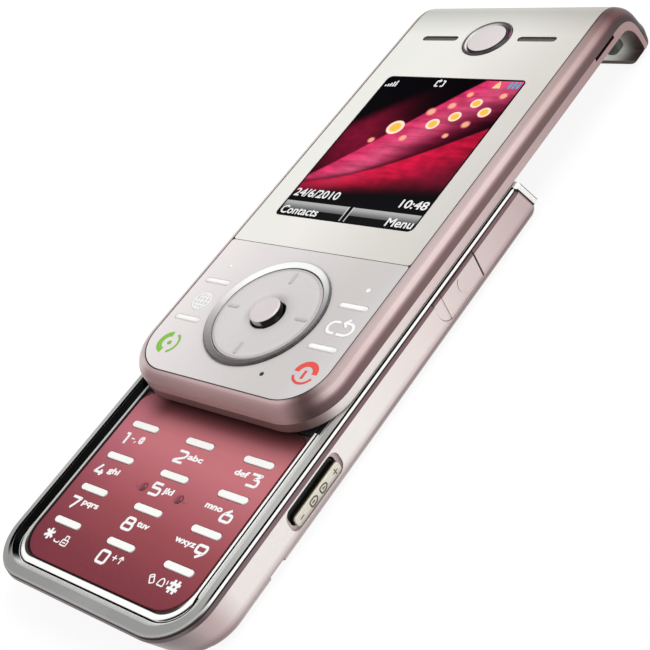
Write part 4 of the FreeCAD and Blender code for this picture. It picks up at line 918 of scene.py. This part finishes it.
# polished slope with painted reflections: white to the head and left, smoke grey round the foot and right
# with a darker outer lip
ringTone = dict(rough=0.22, coat=0.15, coatRough=0.1)
ringPaintedReflection, s, turn, reach, streaks = polishedRing("ringPaintedReflection", ringTone, c["y"])
inner = ramp(turn, {-1.0: (206, 204, 203), -0.9: (176, 172, 172), -0.76: (140, 135, 136),
                    -0.62: (116, 110, 112), -0.5: (102, 95, 97), -0.25: (100, 94, 95),
                    -0.12: (116, 111, 112), 0.0: (146, 143, 144), 0.12: (178, 177, 178),
                    0.25: (226, 225, 225), 0.36: (255, 255, 255), 0.8: (255, 255, 254),
                    0.92: (232, 231, 230), 1.0: (214, 213, 212)})
outer = ramp(turn, {-1.0: (218, 217, 217), -0.88: (160, 156, 156), -0.76: (118, 112, 113),
                    -0.62: (62, 56, 58), -0.5: (66, 60, 62), -0.25: (44, 38, 40), 0.0: (48, 44, 45),
                    0.12: (76, 73, 74), 0.25: (98, 96, 97), 0.36: (166, 165, 165), 0.6: (206, 205, 205),
                    0.8: (218, 217, 217), 1.0: (218, 217, 217)})
# painted reflection on the inner edge, darkest toward the head
inset = ramp(turn, {-1.0: (150, 146, 146), -0.88: (120, 116, 116), -0.7: (164, 160, 160),
                    -0.5: (176, 172, 172), 0.12: (198, 196, 196), 0.28: (150, 148, 148), 0.36: (40, 38, 38),
                    0.52: (60, 58, 58), 0.62: (120, 118, 118), 0.88: (112, 110, 110), 1.0: (150, 146, 146)})
tone = blendColour(fade(reach, 12.0, 12.35), inner, outer)
tone = blendColour(fade(reach, 11.12, 11.0), tone, inset)
put(s["Base Color"], blendColour(streaks, tone, (255, 255, 255)))
finishPiece("nav_collar", bm, "slide", ringPaintedReflection, ["nav_ring"], flip=True)

# navigation disc: dished round the middle key, four raised ticks
disc = dict(outer=10.8, hole=3.32, low=13.77, top=14.84, y=spots["navY"], tickFrom=7.0, tickTo=10.0,
            tickWide=0.92, tickRise=0.11)
d = disc
bm = bmesh.new()
spunShell(bm, [(d["hole"], d["low"]), (d["outer"], d["low"]), (d["outer"], d["top"] - 0.16),
               (d["outer"] - 0.05, d["top"] - 0.05), (d["outer"] - 0.17, d["top"]), (9.0, d["top"]),
               (7.4, d["top"]), (6.3, d["top"] - 0.01), (5.5, d["top"] - 0.06), (4.8, d["top"] - 0.15),
               (4.2, d["top"] - 0.28), (3.7, d["top"] - 0.4), (d["hole"] + 0.1, d["top"] - 0.46),
               (d["hole"], d["top"] - 0.5), (d["hole"], d["low"])], (0, d["y"], 0), steps=160)
bmesh.ops.recalc_face_normals(bm, faces=bm.faces)
middle = (d["tickFrom"] + d["tickTo"]) / 2
reach = (d["tickTo"] - d["tickFrom"] - d["tickWide"]) / 2
for ax, ay in ((1, 0), (-1, 0), (0, 1), (0, -1)):
    r = d["tickWide"] / 2
    tick = bmesh.new()
    pillShell(tick, [(r, -0.03), (r, 0.01), (r * 0.9, 0.05), (r * 0.7, 0.085),
                     (r * 0.4, d["tickRise"] - 0.005), (r * 0.15, d["tickRise"])],
              (ax * middle, d["y"] + ay * middle, d["top"]), reach, steps=20, along=(abs(ax), abs(ay), 0))
    bmesh.ops.recalc_face_normals(tick, faces=tick.faces)
    loose = bpy.data.meshes.new("tick")
    tick.to_mesh(loose)
    tick.free()
    dropIn(bm, loose, Matrix.Identity(4))
finishPiece("nav_dish", bm, "nav_disc", discSilver, ["nav_disc"])

# middle key: a round cap with a satin top and a soft edge
middleKey = dict(radius=3.05, low=13.0, top=15.75, y=spots["navY"])
k = middleKey
bm = bmesh.new()
spunShell(bm, [(0, k["low"]), (k["radius"] + 0.4, k["low"]), (k["radius"] + 0.4, k["low"] + 0.4),
               (k["radius"], k["low"] + 0.4), (k["radius"], k["top"] - 0.3),
               (k["radius"] - 0.04, k["top"] - 0.16), (k["radius"] - 0.16, k["top"] - 0.04),
               (k["radius"] - 0.32, k["top"]), (2.2, k["top"] - 0.02), (1.2, k["top"] - 0.06),
               (0, k["top"] - 0.08)], (0, k["y"], 0), steps=96)
keyTop = dict(colour=(220, 212, 213), bright=(228, 220, 221), metallic=0.05, rough=0.3,
              stretch=(1.0, 14.0, 14.0), scale=500.0, depth=0.0004)
middleSatinAndShade, tree, s, place, tone = metal("middleSatinAndShade", keyTop)
s["Specular IOR Level"].default_value = 0.15
# its wall is polished black chrome, with painted reflection and shade: black to the right, paler to the foot
# and left, darker low down
way = facingOf(tree)
side = most(span(way["Up"], 0.3, 0.6, 1.0, 0.0), fade(place[2], 15.44, 15.36))
part = axes(coords(tree, "Normal"))
bearing = bearingOf(part[1], part[0])
wallShading = ramp(bearing, {-1.0: (196, 190, 190), -0.62: (186, 180, 181), -0.5: (170, 164, 165),
                      -0.42: (160, 154, 155), -0.37: (8, 7, 7), 0.5: (8, 7, 7), 0.7: (196, 190, 190),
                      1.0: (196, 190, 190)})
wallShading = tint(wallShading, (70, 66, 66), fade(place[2], 14.75, 14.55))
put(s["Base Color"], blendColour(side, tone, wallShading))
put(s["Metallic"], between(side, 0.1, 0.0))
put(s["Roughness"], between(side, 0.3, 0.15))
finishPiece("middle_key_cap", bm, "centre_key", middleSatinAndShade, ["centre_key"], flip=True)
print("navigation keys made")

# badge: dark bevelled ring round a bare, slightly domed disc
badge = dict(outer=5.3, inner=4.45, foot=14.1, crest=14.98, y=spots["badgeY"])
b = badge
bm = bmesh.new()
spunShell(bm, [(b["inner"], b["foot"]), (b["outer"] - 0.1, b["foot"]), (b["outer"], b["foot"] + 0.1),
               (b["outer"], b["crest"] - 0.2), (b["outer"] - 0.08, b["crest"] - 0.06),
               (b["outer"] - 0.22, b["crest"]), (b["outer"] - 0.36, b["crest"] - 0.03),
               (b["inner"] + 0.3, b["crest"] - 0.24), (b["inner"] + 0.08, b["crest"] - 0.38),
               (b["inner"], b["crest"] - 0.44), (b["inner"], b["foot"])], (0, b["y"], 0), steps=128)
# painted reflections: black at the right and foot, thin grey rim to the head and left with a pale inner
# slope
collarTone = dict(rough=0.2, coat=0.2, coatRough=0.08)
collarPaintedReflection, s, turn, reach, streaks = polishedRing("collarPaintedReflection", collarTone, b["y"])
inner = ramp(turn, {-1.0: (226, 218, 218), -0.78: (240, 232, 232), -0.68: (120, 104, 106),
                    -0.6: (40, 32, 34), 0.0: (22, 18, 20), 0.2: (34, 28, 30), 0.42: (120, 112, 112),
                    0.55: (206, 198, 198), 1.0: (226, 218, 218)})
rim = ramp(turn, {-1.0: (64, 58, 58), -0.75: (84, 66, 68), -0.55: (52, 38, 42), -0.3: (22, 18, 20),
                  0.0: (36, 28, 32), 0.08: (140, 50, 90), 0.16: (60, 50, 54), 0.4: (84, 80, 80),
                  0.8: (84, 80, 80), 1.0: (64, 58, 58)})
tone = blendColour(fade(reach, 4.72, 4.86), inner, rim)
put(s["Base Color"], blendColour(streaks, tone, (255, 255, 255)))
finishPiece("badge_collar", bm, "slide", collarPaintedReflection, ["badge_ring"], flip=True)
bm = bmesh.new()
spunShell(bm, [(0, 14.16), (4.34, 14.16), (4.39, 14.2), (4.39, 14.6), (4.34, 14.65), (4.15, 14.69),
               (3.5, 14.73), (2.6, 14.77), (1.3, 14.8), (0, 14.81)], (0, b["y"], 0), steps=96)
badgeFace = dict(colour=(230, 221, 222), fleck=(244, 238, 238), metallic=0.05, rough=0.28, coat=0.3,
                 coatRough=0.06, sparkle=0.4, peel=0.004)
badgeSilver, tree, s, place, body = sprayPaint("badgeSilver", badgeFace)
# painted shade: a dark edge round the disc, wider to the right and foot
offX = place[0] + 0.32 * mm
offY = place[1] - (b["y"] + 0.25) * mm
edge = fade(distance(offX, offY), 4.02, 4.14)
put(s["Base Color"], tint(body, (40, 32, 34), edge))
finishPiece("badge_face", bm, "slide", badgeSilver, ["badge_disc"], flip=True)
print("badge made")

# display window: printed black border, glowing picture of soft ribbons and round lights
glass = dict(width=34.1, height=41.3, corner=1.1, y=spots["glassY"], z0=13.84, z1=14.66)
bm = bmesh.new()
roundedSlab(bm, glass["width"], glass["height"], glass["corner"], glass["z0"], glass["z1"], (0, glass["y"]),
            soft=0.1)
picture = dict(ribbon=(236, 50, 108), blush=(246, 120, 160), crimson=(222, 22, 66), ember=(120, 14, 44),
               light=(246, 176, 46), pale=(250, 196, 120), halo=(255, 224, 206), glow=0.85)
pictureGlass, tree, s = newMaterial("pictureGlass", 0.0, 0.07, level=0.14)
where = coords(tree)
place = axes(where)
px = place[0] / (glass["width"] / 2 * mm)
py = (place[1] - glass["y"] * mm) / (glass["height"] / 2 * mm)


def bell(value, centre, width):
    off = (value - centre) / width
    return calc("EXPONENT", off * off * -1.0)


def ribbonOf(slope, sway, swayRate, shift, height, crisp, tail):
    # a ribbon of light with one crisp edge and one that fades
    wave = calc("SINE", px * swayRate + shift) * sway
    line = px * slope + wave + height
    away = py - line
    upper = span(away, 0.0, crisp, 1.0, 0.0)
    lower = span(away, -tail, 0.0)
    return upper * lower, away


first, firstAway = ribbonOf(0.86, 0.1, 2.0, 0.4, 0.46, 0.05, 1.05)
second, secondAway = ribbonOf(0.42, -0.1, 1.9, 1.9, -0.16, 0.035, 0.62)
streak = tree.nodes.new("ShaderNodeMapping")
streak.inputs["Rotation"].default_value = (0, 0, math.radians(-40))
streak.inputs["Scale"].default_value = (90, 620, 90)
put(streak.inputs["Vector"], where)
silk = span(noise(Wire(streak.outputs[0]), 1.0, 4.0, 0.6), 0.3, 0.72, 0.5, 1.0)
mottle = span(noise(where, 420.0, 3.0, 0.6), 0.32, 0.68, 0.72, 1.0)
glowA = first * silk * mottle
glowB = second * silk * mottle
black = screenColour(3, 2, 4)
# two dim hazes, then the ribbons
hazeLeft = bell(px, -0.72, 0.42) * bell(py, 0.12, 0.5)
hazeRight = bell(px, 0.75, 0.6) * bell(py, -0.38, 0.34)
art = blendColour(most(hazeLeft, hazeRight) * (mottle * 0.95), black, picture["ember"])
art = blendColour(glowA, art, picture["ribbon"])
art = blendColour(bell(firstAway, -0.42, 0.26) * first * (silk * 0.5), art, picture["blush"])
crease = bell(secondAway, 0.02, 0.045)
art = blendColour(crease * 0.75, art, (40, 6, 18))
art = blendColour(glowB, art, picture["crimson"])
roundLights = [(-5.0, 55.6, 2.1, 1), (0.6, 60.6, 1.35, 0), (3.2, 57.2, 1.6, 1), (4.4, 62.6, 1.2, 0),
               (7.0, 59.6, 1.5, 1), (9.6, 63.6, 1.4, 1), (10.8, 57.6, 1.2, 0), (12.9, 61.2, 1.5, 1),
               (-1.2, 52.8, 1.1, 0), (14.4, 66.0, 1.1, 0), (6.6, 66.0, 1.0, 0), (-8.4, 51.6, 1.0, 0),
               (8.2, 54.2, 0.9, 0)]
for lx, ly, lr, bright in roundLights:
    dx = place[0] - lx * mm
    dy = place[1] - ly * mm
    far = distance(dx, dy)
    halo = fade(far, lr, lr - 0.3)
    core = fade(far, lr * 0.74, lr * 0.5)
    art = blendColour(halo * (0.9 if bright else 0.4), art, picture["halo"] if bright else picture["blush"])
    art = blendColour(core * (0.95 if bright else 0.6), art,
                      picture["light"] if bright else picture["pale"])
# corners fall away to black
hush = span(py + px * -0.75, 0.86, 1.1, 1.0, 0.0) * span(py + px * -0.08, -0.66, -0.34)
art = blendColour(hush, black, art)
# soft-key bars along the foot: grey over black, parted in the middle
barZone = fade(place[1], 31.3, 31.45) * fade(place[1], 33.5, 33.4)
barTone = blendColour(fade(place[1], 31.4, 33.4), (96, 96, 97), (164, 164, 164))
art = blendColour(fade(place[1], 33.6, 33.5), art, (8, 8, 9))
art = blendColour(barZone, art, barTone)
parting = fade(abs(place[0]), 0.48, 0.4)
strip = fade(place[1], 33.55, 33.45)
art = blendColour(parting * strip, art, (4, 4, 5))
art = blendColour(bell(abs(place[0]), 0.55 * mm, 0.1 * mm) * strip, art, (216, 216, 216))
inside = fade(abs(place[0]), 16.72, 16.66) * fade(abs(place[1] - spots["glassY"] * mm), 20.3, 20.24)
art = blendColour(inside, black, art)
put(s["Base Color"], blendColour(0.6, art, black))
put(s["Emission Color"], art)
s["Emission Strength"].default_value = picture["glow"]
put(s["Roughness"], between(cloudOver(where, 70.0), 0.05, 0.1))
finishPiece("display_glass", bm, "slide", pictureGlass, ["screen_window"])
print("display made")

# marks lit on the display: clock, date, two words, signal, bell and battery
litInk = printInk("litInk", (250, 250, 250), (236, 236, 236))
cyanInk = printInk("cyanInk", (70, 190, 226), (40, 150, 200))
amberInk = printInk("amberInk", (255, 226, 170), (250, 196, 120))
marks = dict(z=14.662, thick=0.02)
onGlass = Matrix.Translation((0, 0, marks["z"] + 0.01))
bm = bmesh.new()
for text, size, x0, x1, y in (("24/6/2010", 2.95, -16.4, -4.9, 34.8), ("10:48", 2.95, 10.2, 16.5, 34.85),
                              ("Contacts", 2.9, -16.4, -6.7, 30.0), ("Menu", 2.9, 10.2, 16.4, 30.05)):
    lettering(bm, text, size, marks["thick"], x0, x1, y, marks["z"], bold=0.05)
for i, tall in enumerate((0.4, 0.7, 1.0, 1.35, 1.7)):
    strokes(bm, [([(-16.1 + i * 0.62, 67.5), (-16.1 + i * 0.62, 67.6 + tall)], False)], 0.44, marks["thick"],
            onGlass)
strokes(bm, [([(-2.9, 68.1), (-3.7, 68.1), (-3.7, 69.7), (-2.9, 69.7)], False),
             ([(-3.2, 70.05), (-2.8, 69.7), (-3.2, 69.35)], False),
             ([(-2.3, 69.7), (-1.75, 69.7), (-1.75, 68.1), (-2.3, 68.1)], False)], 0.4, marks["thick"],
        onGlass, 0.2)
finishPiece("display_words", bm, "slide", litInk)
bm = bmesh.new()
for i in range(3):
    strokes(bm, [([(14.0 + i * 0.95, 68.2), (14.15 + i * 0.95, 70.0)], False)], 0.6, marks["thick"],
            onGlass)
finishPiece("display_battery", bm, "slide", cyanInk)
bm = bmesh.new()
for i, (r, y) in enumerate(((0.85, 68.3), (0.7, 68.7), (0.6, 69.1), (0.45, 69.5), (0.15, 69.9))):
    strokes(bm, [([(11.25 - r, y), (11.25 + r, y)], False)], 0.46, marks["thick"],
            onGlass)
finishPiece("display_bell", bm, "slide", amberInk)
print("display marks made")

# printed marks on the key plate
plateInk = dict(z=14.7, thick=0.02)
onPlate = Matrix.Translation((0, 0, plateInk["z"] + 0.012))
bm = bmesh.new()


def arc(cx, cy, r, start, end, steps=14):
    return [(cx + r * math.cos(math.radians(start + (end - start) * i / steps)),
             cy + r * math.sin(math.radians(start + (end - start) * i / steps))) for i in range(steps + 1)]


for x, r in ((-17.0, 0.42), (17.4, 0.5)):
    strokes(bm, [(arc(x, 15.0, r * 0.5, 0, 342, 18), True)], r, plateInk["thick"], onPlate)
# globe of the web key
gx, gy, gr = -17.0, 5.85, 1.95
slim = [(gx + 0.48 * gr * math.cos(math.radians(a)), gy + gr * math.sin(math.radians(a)))
        for a in range(0, 360, 20)]
strokes(bm, [(arc(gx, gy, gr, 0, 345, 22), True), ([(gx - gr, gy), (gx + gr, gy)], False),
             ([(gx, gy - gr), (gx, gy + gr)], False),
             ([(gx - gr * 0.87, gy + 0.95), (gx + gr * 0.87, gy + 0.95)], False),
             ([(gx - gr * 0.87, gy - 0.95), (gx + gr * 0.87, gy - 0.95)], False), (slim, True)],
        0.4, plateInk["thick"], onPlate)
# clear key: a broken loop with a turned-back arrow
strokes(bm, [([(16.95, 7.3)] + arc(16.1, 6.05, 1.25, 95, 265, 14) + [(16.95, 4.8)], False),
             ([(17.6, 4.75)] + arc(19.0, 6.05, 1.3, -88, 88, 14) + [(18.1, 7.35)], False),
             ([(18.75, 8.2), (17.75, 7.35), (18.6, 6.5)], False)], 0.74, plateInk["thick"], onPlate)
finishPiece("plate_marks", bm, "slide", whiteInk)


def callMark(name, cx, cy, thickArc, thinArc, thinRadius, middle, wide, material):
    bm = bmesh.new()
    for i in range(4):
        strokes(bm, [(arc(cx, cy, 1.62 + 0.24 * i, *thickArc), False)], 0.42, plateInk["thick"], onPlate)
    strokes(bm, [(arc(cx, cy, thinRadius, *thinArc), False)], 0.5, plateInk["thick"], onPlate)
    strokes(bm, middle, wide, plateInk["thick"], onPlate)
    finishPiece(name, bm, "slide", material)


callMark("send_mark", -16.65, -4.6, (98, 262), (-64, 64), 2.3, [(arc(-16.4, -4.6, 0.24, 0, 342, 18), True)],
         0.5, greenInk)
callMark("end_mark", 17.45, -4.15, (2, 178), (202, 338), 2.2, [([(17.4, -3.6), (17.4, -5.4)], False)], 0.6,
         redInk)
# microphone: a black dish filling the hole, standing in for the shade inside it
bm = bmesh.new()
spunShell(bm, [(0, 14.6), (0.2, 14.61), (0.32, 14.66), (0.38, 14.712), (0.44, 14.712), (0.46, 14.7),
               (0.44, 14.5), (0, 14.5)], (9.0, -6.3, 0), steps=28)
finishPiece("mic_rim", bm, "slide", blackPart, flip=True)
print("plate marks made")

# round rubber stops inside the hook
stop = dict(x=17.6, z=3.6, radius=2.4, y0=95.2, y1=97.0)
bm = bmesh.new()
for x in (-stop["x"], stop["x"]):
    r = stop["radius"]
    h = stop["y1"] - stop["y0"]
    spunShell(bm, [(0, 0.22), (r - 1.15, 0.22), (r - 0.95, 0.16), (r - 0.8, 0.02), (r - 0.5, 0),
                   (r - 0.18, 0.05), (r - 0.04, 0.18), (r, 0.4), (r, h), (0, h)],
              (x, stop["y0"], stop["z"]), steps=48, axis=(0, 1, 0))
finishPiece("hook_stops", bm, "slide", darkRubber, ["hood_bumpers"], flip=True)

# camera: stepped black barrel behind a domed, coated glass
eye = dict(x=8.5, y=43.95)
bm = bmesh.new()
spunShell(bm, [(0, 1.5), (0.5, 1.5), (0.55, 1.35), (0.9, 1.3), (0.95, 1.12), (1.35, 1.08), (1.4, 0.92),
               (1.8, 0.86), (2.1, 0.78), (2.2, 0.86), (2.2, 1.9), (3.65, 1.9), (3.65, 3.9), (0, 3.9)],
          (eye["x"], eye["y"], 0), steps=64)
finishPiece("camera_barrel", bm, "base", blackPart, ["camera_lens"], flip=True)
lensGlass, tree, s = newMaterial("lensGlass", 0.0, 0.03, level=0.5, ior=1.5)
s["Transmission Weight"].default_value = 1.0
put(s["Base Color"], blendColour(noise(coords(tree), 300.0, 1.0), (206, 196, 232), (190, 214, 236)))
bm = bmesh.new()
spunShell(bm, [(0, 0.5), (0.8, 0.53), (1.4, 0.6), (1.9, 0.7), (2.12, 0.76), (2.12, 0.84), (1.6, 0.8),
               (0.8, 0.76), (0, 0.75)], (eye["x"], eye["y"], 0), steps=64)
finishPiece("camera_glass", bm, "base", lensGlass, flip=True)
print("stops and camera made")

# volume rocker: a bright capsule with raised marks, lying in its pocket
rocker = dict(y=spots["rockerY"], z=4.9, length=12.2, well=2.9, inner=22.85, floor=24.7, barLow=3.5,
              barHigh=5.5, face=26.12)
# blocks are drawn lying down, then stood up against the side
standUp = Matrix(((0, 0, 1, 0), (1, 0, 0, rocker["y"]), (0, 1, 0, 0), (0, 0, 0, 1)))


def sideBlock(name, length, low, high, corner, x0, x1, soft, material, replaced=()):
    bm = bmesh.new()
    roundedSlab(bm, length, high - low, corner, x0, x1, (0, (low + high) / 2), soft)
    bmesh.ops.transform(bm, matrix=standUp, verts=bm.verts)
    return finishPiece(name, bm, "side_rocker", material, replaced, flip=True)


face = rocker["face"]
ivoryBar = dict(colour=(216, 211, 200), bright=(236, 233, 224), metallic=0.15, rough=0.28,
                stretch=(1.0, 14.0, 14.0), scale=500.0, depth=0.001)
rockerIvoryAndShade, tree, s, place, tone = metal("rockerIvoryAndShade", ivoryBar)
# painted shade: the bar darker toward its lower edge and where it sinks into the pocket
tone = tint(tone, ramp(place[2], {3.45: (150, 140, 130), 3.8: (226, 220, 212), 4.4: (255, 255, 252),
                                  5.45: (250, 248, 240)}, mm))
shade = ramp(place[0], {25.0: (20, 17, 13), 25.5: (44, 38, 30), 25.7: (150, 142, 128),
                        25.85: (255, 255, 255)}, mm)
put(s["Base Color"], tint(tone, shade))
sideBlock("rocker_bar", rocker["length"], rocker["barLow"], rocker["barHigh"], 0.6, rocker["floor"] - 0.1,
          face, 0.12, rockerIvoryAndShade, ["side_rocker"])
# a black block deep in the pocket, standing in for the shade above and behind the bar
sideBlock("rocker_well_shade", rocker["length"] + 0.1, rocker["z"] - rocker["well"] / 2,
          rocker["z"] + rocker["well"] / 2, 0.95, rocker["inner"], rocker["floor"], 0.1,
          blackPart)
bm = bmesh.new()
# marks are drawn flat, then stood up against the side
upOnSide = Matrix(((0, 0, 1, face + 0.01), (1, 0, 0, rocker["y"]),
                   (0, 1, 0, (rocker["barLow"] + rocker["barHigh"]) / 2), (0, 0, 0, 1)))
strokes(bm, [([(-2.3, -0.6), (-1.0, -0.6), (-0.5, -0.1), (-0.5, 0.2), (-1.0, 0.6), (-2.3, 0.6)], True),
             ([(-1.9, 0), (-1.2, 0)], False), ([(0.5, -0.6), (1.6, -0.6), (2.2, -0.1), (2.2, 0.2),
                                                (1.6, 0.6), (0.5, 0.6)], True),
             ([(1.0, 0.0), (1.6, 0.0)], False)], 0.3, 0.1, upOnSide, 0.4)
strokes(bm, [([(-5.2, 0), (-4.2, 0)], False), ([(4.1, 0), (5.3, 0)], False),
             ([(4.7, -0.55), (4.7, 0.55)], False)], 0.22, 0.1, upOnSide)
oliveInk = printInk("oliveInk", (84, 76, 58), (104, 96, 78))
finishPiece("rocker_marks", bm, "side_rocker", oliveInk)
print("rocker made")

# camera: a long lens, above the foot and to its right
lensValues = dict(place=(168.184, -91.826, 150.655), turn=(48.87345, 24.78010, 37.45158), lens=75.206)
cam = bpy.data.objects.new("camera", bpy.data.cameras.new("camera"))
scene.collection.objects.link(cam)
cam.location = [v * mm for v in lensValues["place"]]
cam.rotation_euler = [math.radians(v) for v in lensValues["turn"]]
cam.data.lens = lensValues["lens"]
cam.data.sensor_width = 36
cam.data.clip_start = 0.01
cam.data.clip_end = 20
scene.camera = cam


def flatCard(name, centre, facing, size):
    bm = bmesh.new()
    made = bmesh.ops.create_grid(bm, x_segments=1, y_segments=1, size=size / 2)
    turn = Vector(facing).to_track_quat("Z", "Y").to_matrix().to_4x4()
    bmesh.ops.transform(bm, matrix=Matrix.Translation(centre) @ turn, verts=made["verts"])
    mesh = bpy.data.meshes.new(name)
    bm.to_mesh(mesh)
    bm.free()
    card = bpy.data.objects.new(name, mesh)
    scene.collection.objects.link(card)
    return card


def directlySeen(tree):
    # by the camera, in gloss or through glass; not when it only gives light
    paths = tree.nodes.new("ShaderNodeLightPath").outputs
    return most(*(Wire(paths[name]) for name in ("Is Camera Ray", "Is Glossy Ray", "Is Transmission Ray")))


# floor: pale, keeps the soft shadow, and shows as white to the camera and in reflections
ground = dict(tone=0.8, seen=0.89, shadow=0.13)
floor = flatCard("floor", (0, 0, -0.0002), (0, 0, 1), 6.0)
floorMat = bpy.data.materials.new("paleFloor")
tree = bareTree(floorMat)
matte = tree.nodes.new("ShaderNodeBsdfDiffuse")
matte.inputs[0].default_value = (ground["tone"], ground["tone"], ground["tone"], 1)
thin = tree.nodes.new("ShaderNodeBsdfDiffuse")
thin.inputs[0].default_value = (ground["shadow"], ground["shadow"], ground["shadow"], 1)
shown = tree.nodes.new("ShaderNodeEmission")
shown.inputs["Strength"].default_value = ground["seen"]
both = tree.nodes.new("ShaderNodeAddShader")
tree.links.new(thin.outputs[0], both.inputs[0])
tree.links.new(shown.outputs[0], both.inputs[1])
choose = tree.nodes.new("ShaderNodeMixShader")
put(choose.inputs[0], directlySeen(tree))
tree.links.new(matte.outputs[0], choose.inputs[1])
tree.links.new(both.outputs[0], choose.inputs[2])
out = tree.nodes.new("ShaderNodeOutputMaterial")
tree.links.new(choose.outputs[0], out.inputs[0])
floor.data.materials.append(floorMat)

# world: white to the eye, in reflections and through glass; a softer level as light
room = dict(light=0.63)
world = bpy.data.worlds.new("room")
scene.world = world
tree = bareTree(world)
back = tree.nodes.new("ShaderNodeBackground")
back.inputs[0].default_value = (1, 1, 1, 1)
put(back.inputs[1], between(directlySeen(tree), room["light"], 1.0))
out = tree.nodes.new("ShaderNodeOutputWorld")
tree.links.new(back.outputs[0], out.inputs[0])


def softLamp(name, toward, away, size, watts):
    lamp = bpy.data.lights.new(name, "AREA")
    lamp.shape = "DISK"
    lamp.size = size
    lamp.energy = watts
    holder = bpy.data.objects.new(name, lamp)
    scene.collection.objects.link(holder)
    aim = Vector((0, 0.02, 0.01))
    holder.location = aim + Vector(toward).normalized() * away
    holder.rotation_euler = Vector(toward).to_track_quat("Z", "Y").to_euler()
    return holder


softLamp("overhead", (0.16, 0.4, 0.9), 0.9, 0.5, 3.4)
softLamp("side", (0.95, 0.05, 0.35), 0.9, 0.6, 1.2)


def reflectionCard(name, toward, away, size, tones, along):
    # seen only in gloss: a card whose tone runs along one direction
    card = flatCard(name, Vector(toward).normalized() * away, [-v for v in toward], size)
    for flag in ("camera", "diffuse", "transmission", "volume_scatter", "shadow"):
        setattr(card, "visible_" + flag, False)
    m = bpy.data.materials.new(name)
    tree = bareTree(m)
    unit = tree.nodes.new("ShaderNodeVectorMath")
    unit.operation = "NORMALIZE"
    put(unit.inputs[0], coords(tree))
    dot = tree.nodes.new("ShaderNodeVectorMath")
    dot.operation = "DOT_PRODUCT"
    put(dot.inputs[0], Wire(unit.outputs[0]))
    dot.inputs[1].default_value = Vector(along).normalized()
    scale = tree.nodes.new("ShaderNodeValToRGB")
    put(scale.inputs[0], span(Wire(dot.outputs["Value"]), -1.0, 1.0, smooth=False))
    stops = scale.color_ramp.elements
    while len(stops) < len(tones):
        stops.new(0.5)
    for stop, (at, tone) in zip(stops, tones):
        stop.position = (at + 1) / 2
        stop.color = (tone, tone, tone, 1)
    shine = tree.nodes.new("ShaderNodeEmission")
    put(shine.inputs[0], Wire(scale.outputs[0]))
    out = tree.nodes.new("ShaderNodeOutputMaterial")
    tree.links.new(shine.outputs[0], out.inputs[0])
    card.data.materials.append(m)
    return card


reflectionCard("gradientCard", (-0.72, 0.36, 0.56), 0.7, 1.0,
               [(-0.46, 0.02), (-0.19, 0.06), (0.13, 0.36), (0.46, 1.0)], (0.0, -0.848, 0.53))
reflectionCard("blackFlag", (0.594, 0.38, 0.664), 0.6, 0.26, [(-1, 0.0), (1, 0.0)], (0, 0, 1))
print("camera, floor and lights made")
